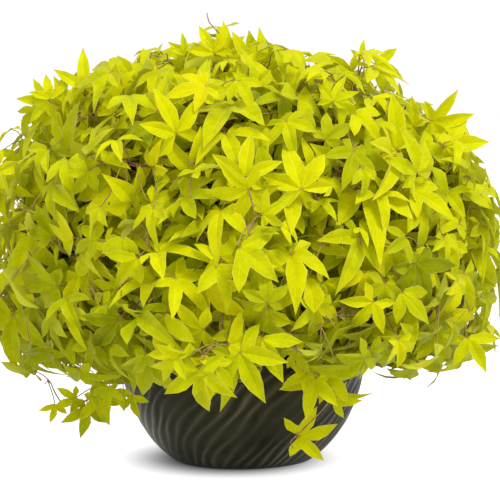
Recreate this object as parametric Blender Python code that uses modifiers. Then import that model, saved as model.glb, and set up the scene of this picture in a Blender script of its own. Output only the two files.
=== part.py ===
"""Potted sweet potato vine: a round bowl of soil, and a mound of lobed leaves on trailing vines.

The vines rise from one short woody stem, fan out under the mound and each ends in a mass of leaves. The
masses share out the mound: one on top, a ring on its shoulder and a hanging skirt round the bowl.
Units are metres and +Z is up. The origin is the centre of the bowl's flat underside, and the front is -Y.
"""

import math

import bmesh
import bpy
import numpy as np
from mathutils import Vector
from mathutils.bvhtree import BVHTree

# Bowl planter
BOWL_HEIGHT = 0.150
BOWL_FOOT_RADIUS = 0.087
BOWL_RIM_RADIUS = 0.160
BOWL_WALL = 0.008
BOWL_FLOOR = 0.011
BOWL_LIP = 0.0025
BOWL_CURVE = (2.2, 0.8)  # the powers that shape the wall between foot and rim
BOWL_STEPS = 48
BOWL_ROWS = 5

# Soil and the short woody stem that stands on it
SOIL_BELOW_RIM = 0.016
SOIL_SLOPE = 0.004  # how far the soil drops from the middle to the wall
SOIL_BREAK = 0.62  # share of the soil's radius where its top bends
SOIL_GAP = 0.0016  # from the soil's side to the bowl's wall
SOIL_STEPS = 32
CLEARANCE = 0.0003  # between neighbours that meet
STEM_HEIGHT = 0.060
STEM_FLARE_RADIUS = 0.027
STEM_FLARE_HEIGHT = 0.007
STEM_RADIUS = 0.017
STEM_TOP_RADIUS = 0.011
STEM_ROWS = (0.060, 0.045, 0.030, 0.017, 0.008, 0.0)  # heights above its foot
STEM_STEPS = 16
STEM_COLLAR = 0.01  # of level soil round its foot

# The mound: half sizes of its outline from its heart, and how square it is above and below the heart
HEART = np.array((0.0, 0.0, 0.262))
MOUND_HALF_WIDTH = 0.346
MOUND_HALF_DEPTH = 0.332
MOUND_RISE = 0.296
MOUND_DROP = 0.156
POWER_ABOVE = 2.45
POWER_BELOW = 4.0
LUMPS = ((3, 0.9, 0.016), (5, 2.3, 0.012), (7, 4.1, 0.010))  # waves round it: count, phase, share of reach
LUMP_TWIST = 2.5  # how fast the waves turn with height

# Each mass's own space in the mound
INNER_SHARE = 0.45  # the leaves keep to the outer part of the reach; the vines fan out inside it
INNER_MARGIN = 0.015
SPACE_MARGIN = 0.0007  # from a leaf to the edge of its mass's space
SPACE_SAG = 55.0  # degrees that a space's floor falls from the heart to the outline, so that masses overlap
SPACE_SWIRL = 45.0  # degrees that a space's sides turn from the heart to the outline
SPACE_WAVES = (3.5, 5)  # how far the floors go up and down round the mound: degrees, count
RIM_CLEARANCE = 0.012  # from the bowl's rim up to a leaf above it

# Shoots that stand out of the mound: degrees round from the front, degrees up, width in degrees, extra reach
TUFTS = (
    (-62.0, 50.0, 12.0, 0.030),
    (-40.0, 82.0, 9.0, 0.026),
    (60.0, 54.0, 10.0, 0.026),
    (96.0, 26.0, 12.0, 0.014),
    (168.0, 48.0, 13.0, 0.026),
    (-128.0, 42.0, 12.0, 0.026),
)

# Vines that trail lower than the skirt: degrees round from the front, half width, lowest point
TRAILS = ((40.0, 0.075, 0.032), (-68.0, 0.072, 0.034), (-168.0, 0.068, 0.048))
TRAIL_GAP = 0.006  # from the rim's radius to a trailing leaf
TRAIL_SPREAD = 0.105  # how far out from the rim a trail may go
TRAIL_TOP = 0.232  # height where a trail begins
TRAIL_LINE = 0.36  # share of the spread where its stem hangs
TRAIL_BENDS = (0.112, 0.085)  # heights of its stem's points
TRAIL_END = 0.030  # from the trail's lowest point up to its stem's end

# Rings of masses: name, how many, degrees round of the first, lowest and highest degrees up, most leaves
RINGS = (
    ("skirt", 7, 62.0, -60.0, 36.0, 27),
    ("shoulder", 5, 20.0, 36.0, 76.0, 24),
    ("top", 1, 0.0, 76.0, 130.0, 33),
)
ENTRY_DEGREES = {"skirt": 10.0, "shoulder": 54.0, "top": 88.0}  # where each ring's vines go in
ROOT_HEIGHTS = {"skirt": 0.016, "shoulder": 0.037}  # up the woody stem, where the vines start

# Each mass's own stem as (rise up the space, share of the reach) after its first point, and its twigs as
# (the stem's point where it starts, side of the space, rise up the space)
STEM_ROUTES = {
    "skirt": ((0.74, 0.56), (0.76, 0.68), (0.68, 0.78), (0.53, 0.84)),
    "shoulder": ((0.45, 0.56), (0.52, 0.68)),
    "top": ((1.0, 0.56), (1.0, 0.68)),
}
TWIGS = {
    "skirt": tuple((row, side, rise) for row, rise in ((2, 0.90), (3, 0.74), (4, 0.56)) for side in (-0.6, 0.6)),
    "shoulder": tuple((row, side, rise) for row, rise in ((2, 0.22), (3, 0.78)) for side in (-0.6, 0.6)),
    "top": tuple((3, side / 6.0, 0.10) for side in (-5, -3, -1, 1, 3, 5)),
}
TWIG_REACH = 0.78  # share of the reach where twigs end

# Vines and twigs
VINE_RADIUS = 0.0030
VINE_TIP_RADIUS = 0.0024
VINE_LIFT = 0.22  # how strongly a vine keeps its direction out of the woody stem, as a share of its span
VINE_ARRIVAL = 0.40  # and into its mass
STRAIGHT = 0.006  # how much of a vine is straight where it meets another piece
VINE_SKIN = 0.0002  # what a vine's flat sides need beyond the clearance on the round woody stem
TWIG_RADIUS = 0.0023
TWIG_TIP_RADIUS = 0.0019
TWIG_START = 0.3  # a twig starts within this share of the way back to the stem's point before
TWIG_WANDER = (0.05, 0.03)  # how far its end strays to a side, and up or down, as shares of the space
NODE_SPACING = 0.012
STEM_BARE = 0.004  # of a mass's stem before its first leaf
TWIG_BARE = 0.022

# Leaf of length 1 along +Y: the lobes and clefts as (degrees from the midrib, distance from the stalk)
LEAF_HALF = ((0.0, 1.0), (25.0, 0.37), (50.0, 0.80), (104.0, 0.55))
LEAF_NOTCH = 0.04
LEAF_MIDDLE = 0.16  # how far along the blade is thickest
LEAF_THICKNESS = 0.028  # there
LEAF_DROOP = 0.18  # how far the tip hangs below the blade's plane
LEAF_CENTRE = 0.42
STALK_SECTION = ((-0.010, 0.0, 0.0), (0.0, 0.006, -0.012), (0.010, 0.0, 0.0))  # at the blade
ROOT_SECTION = ((-0.87, -0.5, 0.0), (0.0, 1.0, 0.0), (0.87, -0.5, 0.0))  # the same corners at the twig

# Real sizes of leaves and stalks
LEAF_LENGTH = 0.099
LEAF_SCALES = (0.62, 1.08)
STALK_LENGTHS = (0.018, 0.095)
STALK_RADIUS = 0.0007
ROOT_LENGTH = 0.006  # of the stalk, that may be inside its own twig

# How a leaf turns: shares of the ways out of the mound, up or down, and by chance
STALK_OUT, STALK_UP, STALK_CHANCE = 0.65, 0.25, 0.85
TIP_OUT, TIP_OUT_STEEP = 0.25, 0.35  # on top, and what the steep side adds
TIP_CHANCE, TIP_CHANCE_STEEP = 1.10, -0.45
TIP_FALL, TIP_FALL_STEEP, FALL_CHANCE = 0.10, 0.80, (0.3, 1.4)
LEVEL_CHANCE = (1.0, 1.0, 0.25)  # a leaf turns more to the sides than up and down
FACE_OUT, FACE_UP, FACE_CHANCE = 0.90, 0.55, 0.40
STALK_BEHIND = (0.85, 0.52)  # the stalk comes from behind: shares of the tip's way and the face's way
STALK_BEHIND_LEAST = 0.35

# Which leaves stand
CANDIDATES = 60000  # leaves tried in each mass
TRAIL_WEIGHT = 6.0  # how much oftener a node below the bowl's rim is tried
TRAIL_MERIT = 0.03  # and how much sooner it is taken
OUTER_MERIT = 0.05  # how much sooner a leaf near the outline is taken
CHANCE_MERIT = 0.006
FAR_ENOUGH = 0.07  # a leaf further than this from the rest gains nothing more
CROWDING = 0.022  # the least distance between two leaves' middles
FLAT_DEGREES = 2.0  # faces of a fused mass that meet flatter than this become one
SEED = 4107


# ---------------------------------------------------------------- small helpers


def material(name, colour, roughness):
    made = bpy.data.materials.new(name)
    made.use_nodes = True
    shader = made.node_tree.nodes["Principled BSDF"]
    shader.inputs["Base Color"].default_value = (*colour, 1.0)
    shader.inputs["Roughness"].default_value = roughness
    shader.inputs["Metallic"].default_value = 0.0
    return made


def add_object(name, mesh, collection):
    made = bpy.data.objects.new(name, mesh)
    collection.objects.link(made)
    return made


def drop_object(made):
    mesh = made.data
    bpy.data.objects.remove(made)
    bpy.data.meshes.remove(mesh)


def unit(vectors):
    return vectors / np.linalg.norm(vectors, axis=-1, keepdims=True)


def direction(round_degrees, up_degrees):
    """Unit vector at so many degrees round from the front (-Y) towards +X, and up from level."""
    a, e = math.radians(round_degrees), math.radians(up_degrees)
    return np.array((math.sin(a) * math.cos(e), -math.cos(a) * math.cos(e), math.sin(e)))


def turn_between(a, b):
    """Degrees from b to a, between -180 and 180."""
    return (a - b + 180.0) % 360.0 - 180.0


# ---------------------------------------------------------------- the mound's outline


def reach(ways):
    """How far the mound goes from its heart along unit vectors: a rounded block with lumps and tufts."""
    x, y, z = ways[..., 0], ways[..., 1], ways[..., 2]
    power = np.where(z > 0, POWER_ABOVE, POWER_BELOW)
    rise = np.where(z > 0, MOUND_RISE, MOUND_DROP)
    level = np.hypot(x / MOUND_HALF_WIDTH, y / MOUND_HALF_DEPTH)
    plain = (level**power + np.abs(z / rise) ** power) ** (-1.0 / power)
    around, up = np.arctan2(x, -y), np.arcsin(np.clip(z, -1.0, 1.0))
    lump = sum(share * np.sin(count * around + phase + LUMP_TWIST * up) for count, phase, share in LUMPS)
    tuft = np.zeros_like(x)
    for tuft_round, tuft_up, width, extra in TUFTS:
        apart = np.degrees(np.arccos(np.clip(ways @ direction(tuft_round, tuft_up), -1.0, 1.0)))
        tuft = np.maximum(tuft, extra * (1.0 - np.minimum(1.0, apart / width) ** 2))
    return plain * (1.0 + lump * np.cos(up)) + tuft


def share_of_reach(points):
    """How far out each point is: 0 at the heart, 1 on the mound's outline."""
    out = points - HEART
    distance = np.linalg.norm(out, axis=-1)
    return distance / reach(out / np.maximum(distance, 1e-9)[..., None])


def outline_point(round_degrees, up_degrees, share):
    way = direction(round_degrees, up_degrees)
    return HEART + way * float(reach(way)) * share


class Space:
    """The part of the mound that one mass keeps to: a block of directions, and a trail if one hangs there."""

    def __init__(self, middle, half_turn, low, high):
        self.middle, self.half_turn, self.low, self.high = middle, half_turn, low, high
        self.trail = None
        outer_middle = middle - SPACE_SWIRL * (1.0 - INNER_SHARE)
        for trail in TRAILS:
            if low < 0 and abs(turn_between(trail[0], outer_middle)) < half_turn:
                self.trail = trail

    def shift(self, around, share):
        """How far the space's sides have turned, and its floor has sunk, this far out: degrees."""
        out = np.minimum(share, 1.0) - INNER_SHARE
        height, count = SPACE_WAVES
        return SPACE_SWIRL * out, SPACE_SAG * out + height * np.sin(np.radians(count * around))

    def point(self, side, rise, share):
        """A point this far from the space's middle to its side, up from its floor, and out to the outline."""
        turned, _sunk = self.shift(0.0, share)
        around = self.middle + side * self.half_turn - turned
        _turned, sunk = self.shift(around, share)
        return outline_point(around, min(90.0, self.low + (self.high - self.low) * rise - sunk), share)

    def walls_hold(self, points):
        """Which of the points are clear of the bowl and between the space's walls, at any distance."""
        out = points - HEART
        distance = np.linalg.norm(out, axis=-1)
        level = np.hypot(out[..., 0], out[..., 1])
        around = np.degrees(np.arctan2(out[..., 0], -out[..., 1]))
        turned, sunk = self.shift(around, share_of_reach(points))
        up = np.degrees(np.arctan2(out[..., 2], level)) + sunk
        clear = (points[..., 2] > BOWL_HEIGHT + RIM_CLEARANCE) | (level > BOWL_RIM_RADIUS + TRAIL_GAP)
        if self.half_turn < 180.0:
            side = self.half_turn - np.abs(turn_between(around + turned, self.middle))
            clear &= level * np.sin(np.radians(np.minimum(side, 90.0))) > SPACE_MARGIN
        clear &= distance * np.sin(np.radians(np.minimum(self.high - up, 90.0))) > SPACE_MARGIN
        above_floor = distance * np.sin(np.radians(np.minimum(up - self.low, 90.0))) > SPACE_MARGIN
        return clear & (above_floor | self.in_trail(points))

    def holds(self, points):
        """Which of the points are inside the space."""
        share = share_of_reach(points)
        in_mound = (share > INNER_SHARE + INNER_MARGIN) & (share < 1.0)
        return (in_mound | self.in_trail(points)) & self.walls_hold(points)

    def in_trail(self, points):
        """Which of the points are where the trail hangs, outside the bowl and below the heart."""
        if not self.trail:
            return np.zeros(points.shape[:-1], bool)
        trail_round, half_width, bottom = self.trail
        along = direction(trail_round, 0.0)
        across = np.abs(points[..., 0] * along[1] - points[..., 1] * along[0])
        level = np.hypot(points[..., 0], points[..., 1])
        hanging = (across < half_width) & (points[..., 2] > bottom) & (points[..., 2] < TRAIL_TOP)
        return hanging & (level > BOWL_RIM_RADIUS) & (level < BOWL_RIM_RADIUS + TRAIL_SPREAD)


# ---------------------------------------------------------------- bowl, soil and woody stem


def turned(name, profile, steps, collection, finish):
    """(radius, height) points turned round Z, from the axis down the outer side to the axis again."""
    shape = bmesh.new()
    points = [shape.verts.new((radius, 0.0, height)) for radius, height in profile]
    for first, second in zip(points, points[1:]):
        shape.edges.new((first, second))
    mesh = bpy.data.meshes.new(name)
    shape.to_mesh(mesh)
    shape.free()
    made = add_object(name, mesh, collection)
    screw = made.modifiers.new("turn", "SCREW")
    screw.steps = steps
    screw.render_steps = steps
    screw.use_merge_vertices = True
    screw.merge_threshold = 0.0001
    made.data.materials.append(finish)
    return made


def bowl_radius(height):
    """Outer radius of the bowl at this height."""
    rise, round_off = BOWL_CURVE
    share = (1.0 - (1.0 - min(1.0, height / BOWL_HEIGHT)) ** rise) ** round_off
    return BOWL_FOOT_RADIUS + (BOWL_RIM_RADIUS - BOWL_FOOT_RADIUS) * share


def inner_radius(height):
    return bowl_radius(height) - BOWL_WALL


def wall_rows(low, high, rows, radius_at):
    """(radius, height) points up a wall."""
    heights = [low + (high - low) * row / rows for row in range(rows + 1)]
    return [(radius_at(height), height) for height in heights]


def make_bowl(collection, finish):
    lip = BOWL_HEIGHT - BOWL_LIP
    inner = wall_rows(BOWL_FLOOR, lip, BOWL_ROWS - 2, inner_radius)
    outer = wall_rows(0.0, lip, BOWL_ROWS, bowl_radius)
    rim = (BOWL_RIM_RADIUS - BOWL_WALL / 2, BOWL_HEIGHT)
    profile = [(0.0, BOWL_FLOOR), *inner, rim, *reversed(outer), (0.0, 0.0)]
    turned("bowl", profile, BOWL_STEPS, collection, finish)


def soil_height(radius):
    return BOWL_HEIGHT - SOIL_BELOW_RIM - SOIL_SLOPE * (radius / BOWL_RIM_RADIUS) ** 2


def make_soil(collection, finish):
    edge = soil_height(inner_radius(BOWL_HEIGHT - SOIL_BELOW_RIM))
    foot = BOWL_FLOOR + CLEARANCE
    side = wall_rows(foot, edge, BOWL_ROWS - 2, lambda height: inner_radius(height) - SOIL_GAP)
    flat = STEM_FLARE_RADIUS + STEM_COLLAR
    half_way = side[-1][0] * SOIL_BREAK
    top = [(0.0, soil_height(0.0)), (flat, soil_height(0.0)), (half_way, soil_height(half_way))]
    turned("soil", [*top, *reversed(side), (0.0, foot)], SOIL_STEPS, collection, finish)


def stem_foot():
    return soil_height(0.0) + CLEARANCE


def stem_radius(above):
    """Radius of the woody stem at this height above its flat foot: flared below, tapering above."""
    flare = (STEM_FLARE_RADIUS - STEM_RADIUS) * math.exp(-above / STEM_FLARE_HEIGHT)
    return STEM_RADIUS + flare - (STEM_RADIUS - STEM_TOP_RADIUS) * above / STEM_HEIGHT


def make_stem(collection, finish):
    side = [(stem_radius(above), stem_foot() + above) for above in STEM_ROWS]
    top = (0.0, stem_foot() + STEM_HEIGHT)
    turned("woody_stem", [top, *side, (0.0, stem_foot())], STEM_STEPS, collection, finish)


# ---------------------------------------------------------------- vines and twigs


def section(name, sides, collection):
    """The outline that a tube's section follows: a regular polygon of radius 1."""
    outline = bpy.data.curves.new(name, "CURVE")
    spline = outline.splines.new("POLY")
    spline.points.add(sides - 1)
    for number, point in enumerate(spline.points):
        turn = -2.0 * math.pi * number / sides
        point.co = (math.cos(turn), math.sin(turn), 0.0, 1.0)
    spline.use_cyclic_u = True
    guide = add_object(name, outline, collection)
    guide.hide_render = True
    guide.display_type = "WIRE"
    return guide


def tube(name, points, radii, outline, collection):
    """A tapering tube along points, as a closed mesh whose faces point out."""
    line = bpy.data.curves.new(name, "CURVE")
    line.dimensions = "3D"
    line.bevel_mode = "OBJECT"
    line.bevel_object = outline
    line.use_fill_caps = True
    spline = line.splines.new("POLY")
    spline.points.add(len(points) - 1)
    for knot, point, radius in zip(spline.points, points, radii):
        knot.co = (*point, 1.0)
        knot.radius = radius
    curve = add_object(name + "_line", line, collection)
    bpy.context.view_layer.update()
    mesh = bpy.data.meshes.new_from_object(curve.evaluated_get(bpy.context.evaluated_depsgraph_get()))
    mesh.name = name
    bpy.data.objects.remove(curve)
    bpy.data.curves.remove(line)
    shape = bmesh.new()
    shape.from_mesh(mesh)
    bmesh.ops.remove_doubles(shape, verts=shape.verts, dist=1e-6)
    bmesh.ops.recalc_face_normals(shape, faces=shape.faces)
    shape.to_mesh(mesh)
    shape.free()
    return add_object(name, mesh, collection)


def arc(start, lift, end, arrive, count):
    """Points on a smooth curve that leaves start along lift and comes to end along arrive."""
    points = []
    for t in np.linspace(0.0, 1.0, count + 1):
        a, b, c, d = (1 - t) ** 3, 3 * t * (1 - t) ** 2, 3 * t * t * (1 - t), t**3
        points.append(start * a + (start + lift) * b + (end - arrive) * c + end * d)
    return points


def vine_start(ring, around):
    """Where a vine leaves the woody stem, and its direction there."""
    if ring == "top":
        return np.array((0.0, 0.0, stem_foot() + STEM_HEIGHT + CLEARANCE)), np.array((0.0, 0.0, 1.0))
    above, step = ROOT_HEIGHTS[ring], 0.002
    slope = (stem_radius(above - step) - stem_radius(above + step)) / (2 * step)
    normal = unit(direction(around, 0.0) + np.array((0.0, 0.0, slope)))
    foot = direction(around, 0.0) * stem_radius(above) + np.array((0.0, 0.0, stem_foot() + above))
    return foot + normal * (CLEARANCE + VINE_SKIN), normal


def vine_end(ring, around):
    """Where a vine goes into its mass, and its direction there."""
    return outline_point(around, ENTRY_DEGREES[ring], INNER_SHARE), direction(around, ENTRY_DEGREES[ring])


def make_vine(name, ring, around, outline, collection, finish):
    start, leave = vine_start(ring, around)
    end, arrive = vine_end(ring, around)
    span = np.linalg.norm(end - start)
    lift, arrival = leave * span * VINE_LIFT, arrive * span * VINE_ARRIVAL
    middle = arc(start + leave * STRAIGHT, lift, end - arrive * STRAIGHT, arrival, 3)
    radii = np.linspace(VINE_RADIUS, VINE_TIP_RADIUS, len(middle) + 2)
    vine = tube(name, [start, *middle, end], radii, outline, collection)
    vine.data.materials.append(finish)
    return vine


# ---------------------------------------------------------------- leaves


def leaf_rim():
    """The blade's rim: from the stalk's notch up the right side, over the tip and back."""
    right = [(-turn, share) for turn, share in reversed(LEAF_HALF) if turn > 0]
    rows = []
    for turn, share in [(180.0, LEAF_NOTCH), *right, *LEAF_HALF]:
        a = math.radians(turn)
        rows.append((-math.sin(a) * share, math.cos(a) * share, -LEAF_DROOP * share**2))
    return np.array(rows)


RIM = leaf_rim()


class LeafStencil:
    """A lobed blade with a three-sided stalk, made once and copied for each leaf with its own root."""

    def __init__(self):
        shape = self.blade()
        root = self.add_stalk(shape)
        shape.verts.index_update()
        self.root = [point.index for point in root]
        self.root_section = [ROOT_SECTION[round(point.co.x / STALK_SECTION[2][0]) + 1] for point in root]
        for point in root:
            point.co.y -= 1.0
        bmesh.ops.triangulate(shape, faces=shape.faces)
        bmesh.ops.recalc_face_normals(shape, faces=shape.faces)
        self.mesh = bpy.data.meshes.new("leaf")
        shape.to_mesh(self.mesh)
        shape.free()
        self.points = np.array([point.co for point in self.mesh.vertices])
        self.faces = [face.vertices[:] for face in self.mesh.polygons]
        self.blade_faces = [face for face in self.faces if not set(face) & set(self.root)]

    @staticmethod
    def blade():
        """A blade of length 1 along +Y: a flattened ball whose equator is pulled out to the rim."""
        shape = bmesh.new()
        bmesh.ops.create_uvsphere(shape, u_segments=len(RIM), v_segments=2, radius=1.0)
        for point in shape.verts:
            if abs(point.co.z) > 0.5:
                point.co = (0.0, LEAF_MIDDLE, math.copysign(LEAF_THICKNESS / 2, point.co.z))
                continue
            turn = math.atan2(point.co.y, point.co.x) % math.tau
            point.co = RIM[round(turn / math.tau * len(RIM)) % len(RIM)]
        return shape

    @staticmethod
    def add_stalk(shape):
        """Cuts the notch to a small triangle and draws it out to a stalk. Gives the points of its root."""
        notch = min(shape.verts, key=lambda point: (point.co - Vector(RIM[0])).length)
        upper = [edge for edge in notch.link_edges if edge.other_vert(notch).co.z > 0]
        bmesh.ops.dissolve_edges(shape, edges=upper)
        corner = bmesh.ops.bevel(shape, geom=[notch], offset=LEAF_NOTCH / 2, segments=1, affect="VERTICES")
        cut = corner["faces"][0]
        peak = max(shape.verts, key=lambda point: point.co.z)
        for point in cut.verts:
            side = round(point.co.x / LEAF_NOTCH * 2)
            point.co = Vector(STALK_SECTION[side + 1])
            if side:
                bmesh.ops.connect_verts(shape, verts=[peak, point])
        drawn = bmesh.ops.extrude_face_region(shape, geom=[cut])["geom"]
        shape.faces.remove(cut)
        return [item for item in drawn if isinstance(item, bmesh.types.BMVert)]

    def placed(self, axes, place, root):
        """The leaf's points, with its blade's axes as rows and its stalk's root where it belongs."""
        points = self.points @ axes + place
        along = unit(place - root)
        right = unit(axes[0] - along * (axes[0] @ along))
        below = np.cross(along, right)
        for number, (x, y, _z) in zip(self.root, self.root_section):
            points[number] = root + (right * x + below * y) * STALK_RADIUS
        return points

    def copy(self, name, points, collection):
        mesh = self.mesh.copy()
        mesh.vertices.foreach_set("co", points.ravel())
        return add_object(name, mesh, collection)


def leaf_candidates(places, chance, count):
    """Many leaves that could stand at the places: node number, stalk's root, blade's base, axes and size."""
    weight = np.where(places[:, 2] < BOWL_HEIGHT, TRAIL_WEIGHT, 1.0)
    node = chance.choice(len(places), count, p=weight / weight.sum())
    root = places[node]
    out = unit(root - HEART)
    wander = chance.uniform(-1.0, 1.0, (count, 3))
    way = unit(out * STALK_OUT + wander * STALK_CHANCE + np.array((0.0, 0.0, STALK_UP)))
    base = root + way * chance.uniform(*STALK_LENGTHS, (count, 1))
    out = unit(base - HEART)
    level = out * np.array((1.0, 1.0, 0.0))
    steep = 1.0 - np.clip(out[:, 2:], 0.0, 1.0)
    spin = chance.uniform(-1.0, 1.0, (count, 3)) * np.array(LEVEL_CHANCE)
    spin *= TIP_CHANCE + TIP_CHANCE_STEEP * steep
    fall = (TIP_FALL + TIP_FALL_STEEP * steep**2) * chance.uniform(*FALL_CHANCE, (count, 1))
    tip_way = unit(level * (TIP_OUT + TIP_OUT_STEEP * steep) + spin - np.array((0.0, 0.0, 1.0)) * fall)
    face_way = out * FACE_OUT + np.array((0.0, 0.0, FACE_UP))
    face_way += chance.uniform(-1.0, 1.0, (count, 3)) * FACE_CHANCE
    across = unit(np.cross(tip_way, face_way))
    face = np.cross(across, tip_way)
    axes = np.stack([across, tip_way, face], axis=1)
    size = LEAF_LENGTH * chance.uniform(*LEAF_SCALES, count)
    ahead = tip_way * STALK_BEHIND[0] + face * STALK_BEHIND[1]
    sound = np.einsum("ij,ij->i", unit(base - root), ahead) > STALK_BEHIND_LEAST
    return node[sound], root[sound], base[sound], axes[sound], size[sound]


# ---------------------------------------------------------------- masses of leaves


def tree_of(objects):
    """Search tree of what the objects cover, for testing whether a new piece touches them."""
    points, faces = [], []
    for made in objects:
        start = len(points)
        points += [vertex.co.copy() for vertex in made.data.vertices]
        faces += [[start + corner for corner in face.vertices] for face in made.data.polygons]
    return BVHTree.FromPolygons(points, faces)


def keep_largest_shell(shape):
    """Drops loose scraps, and fills sealed hollows by dropping their walls. Gives how many went."""
    unseen, shells = set(shape.verts), []
    while unseen:
        shell, edge = set(), [unseen.pop()]
        while edge:
            vertex = edge.pop()
            shell.add(vertex)
            fresh = {link.other_vert(vertex) for link in vertex.link_edges} & unseen
            unseen -= fresh
            edge += fresh
        shells.append(shell)
    largest = max(shells, key=len)
    loose = [vertex for shell in shells if shell is not largest for vertex in shell]
    bmesh.ops.delete(shape, geom=loose, context="VERTS")
    return len(shells) - 1


def fuse(stem, bits):
    """Joins everything in the collection to the stem as one closed solid. Gives how many scraps went."""
    union = stem.modifiers.new("join", "BOOLEAN")
    union.operation = "UNION"
    union.operand_type = "COLLECTION"
    union.collection = bits
    union.solver = "MANIFOLD"
    bpy.context.view_layer.update()
    mesh = bpy.data.meshes.new_from_object(stem.evaluated_get(bpy.context.evaluated_depsgraph_get()))
    stem.modifiers.remove(union)
    shape = bmesh.new()
    shape.from_mesh(mesh)
    dropped = keep_largest_shell(shape)
    flat = math.radians(FLAT_DEGREES)
    bmesh.ops.dissolve_limit(shape, angle_limit=flat, verts=shape.verts, edges=shape.edges)
    bmesh.ops.triangulate(shape, faces=shape.faces)
    shape.to_mesh(mesh)
    shape.free()
    old = stem.data
    stem.data = mesh
    mesh.name = stem.name
    bpy.data.meshes.remove(old)
    return dropped


class Mass:
    """One mass: a stem on from its vine, seeded twigs, and leaves that touch nothing but their own twig."""

    def __init__(self, name, ring, space, most, seed):
        self.name, self.ring, self.space, self.most = name, ring, space, most
        self.chance = np.random.default_rng(seed)
        self.limbs = []

    def stem_line(self):
        """The stem's points: out from the end of its vine, then down over the skirt and along its trail."""
        end, arrive = vine_end(self.ring, self.space.middle)
        start = end + arrive * CLEARANCE
        line = [start, start + arrive * STRAIGHT]
        line += [self.space.point(0.0, rise, share) for rise, share in STEM_ROUTES[self.ring]]
        if self.space.trail:
            trail_round, _half_width, bottom = self.space.trail
            down = direction(trail_round, 0.0) * (BOWL_RIM_RADIUS + TRAIL_SPREAD * TRAIL_LINE)
            heights = (*TRAIL_BENDS, bottom + TRAIL_END)
            line += [down + np.array((0.0, 0.0, height)) for height in heights]
        return line

    def twig_points(self, line, root, side, rise):
        """A twig's points: from near the stem's point number root to this side and rise of the space."""
        start = line[root] + (line[root - 1] - line[root]) * self.chance.uniform(0.0, TWIG_START)
        aside, aloft = TWIG_WANDER
        side += self.chance.uniform(-aside, aside)
        end = self.space.point(side, rise + self.chance.uniform(-aloft, aloft), TWIG_REACH)
        return arc(start, (line[root] - line[root - 1]) * 0.6, end, (end - start) * 0.25, 3)

    def add_limb(self, points, first, last, outline, bits):
        radii = np.linspace(first, last, len(points))
        limb = tube(f"{self.name}_limb_{len(self.limbs)}", points, radii, outline, bits)
        self.limbs.append(limb)
        return limb

    @staticmethod
    def nodes(points, first):
        """Places along a limb where leaves can stand."""
        places, spare = [], first
        for start, end in zip(points, points[1:]):
            length = np.linalg.norm(end - start)
            while spare < length:
                places.append(start + (end - start) * spare / length)
                spare += NODE_SPACING
            spare -= length
        return places

    def grow(self, outline, vines, leaf, home, finish):
        """Makes the mass's solid and gives its number of leaves."""
        bits = bpy.data.collections.new(self.name + "_bits")
        bpy.context.scene.collection.children.link(bits)
        line = self.stem_line()
        stem = self.add_limb(line, VINE_TIP_RADIUS, TWIG_RADIUS, outline, bits)
        places = self.nodes(line[2:], STEM_BARE)
        for root, side, rise in TWIGS[self.ring]:
            points = self.twig_points(line, root, side, rise)
            twig = self.add_limb(points, TWIG_RADIUS, TWIG_TIP_RADIUS, outline, bits)
            if self.space.walls_hold(np.array([point.co for point in twig.data.vertices])).all():
                places += self.nodes(points, TWIG_BARE)
            else:
                self.limbs.remove(twig)
                drop_object(twig)
        count = self.add_leaves(np.array(places), vines, leaf, bits)
        bits.objects.unlink(stem)
        home.objects.link(stem)
        stem.name = self.name
        dropped = fuse(stem, bits)
        stem.data.materials.clear()
        stem.data.materials.append(finish)
        for made in list(bits.objects):
            drop_object(made)
        bpy.data.collections.remove(bits)
        print(f"{self.name}: {count} leaves, {len(stem.data.polygons)} triangles, {dropped} scraps dropped")
        return count

    def add_leaves(self, places, vines, leaf, bits):
        """Takes leaves one at a time: the candidate furthest from those that stand, if it touches nothing."""
        node, root, base, axes, size = leaf_candidates(places, self.chance, CANDIDATES)
        tip = base + axes[:, 1] * size[:, None]
        near = self.space.holds(base) & self.space.holds(tip) & self.space.walls_hold((base + root) / 2)
        node, root, base, axes, size = (rows[near] for rows in (node, root, base, axes, size))
        blades = base[:, None, :] + np.einsum("ri,nij->nrj", RIM, axes) * size[:, None, None]
        fits = self.space.holds(blades).all(axis=1)
        node, root, base, axes, size, blades = (rows[fits] for rows in (node, root, base, axes, size, blades))
        middles = base + axes[:, 1] * (LEAF_CENTRE * size)[:, None]
        tips_out = share_of_reach(blades).max(axis=1)
        merit = OUTER_MERIT * tips_out + self.chance.uniform(0.0, CHANCE_MERIT, len(base))
        merit += np.where(root[:, 2] < BOWL_HEIGHT, TRAIL_MERIT, 0.0)
        gap = np.full(len(base), FAR_ENOUGH)
        open_to = np.ones(len(base), bool)
        limbs = tree_of([*self.limbs, *vines])
        standing, count = [], 0
        while count < self.most and open_to.any():
            best = int(np.argmax(np.where(open_to, np.minimum(gap, FAR_ENOUGH) + merit, -1.0)))
            open_to[best] = False
            if gap[best] < CROWDING:
                continue
            points = leaf.placed(axes[best] * size[best], base[best], root[best])
            blade = BVHTree.FromPolygons(points, leaf.blade_faces)
            whole = BVHTree.FromPolygons(points, leaf.faces)
            stalk = Vector(root[best] - base[best])
            hit = limbs.ray_cast(Vector(base[best]), stalk.normalized(), stalk.length - ROOT_LENGTH)[0]
            if hit or blade.overlap(limbs) or any(whole.overlap(other) for other in standing):
                continue
            leaf.copy(f"{self.name}_leaf_{count}", points, bits)
            standing.append(whole)
            count += 1
            gap = np.minimum(gap, np.linalg.norm(middles - middles[best], axis=1))
            open_to &= node != node[best]
        return count


# ---------------------------------------------------------------- the whole plant


def spaces():
    """(name, ring, space, most leaves) of every mass."""
    for ring, count, first, low, high, most in RINGS:
        for number in range(count):
            name = ring if count == 1 else f"{ring}_{number + 1}"
            yield name, ring, Space(first + 360.0 * number / count, 180.0 / count, low, high), most


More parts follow.
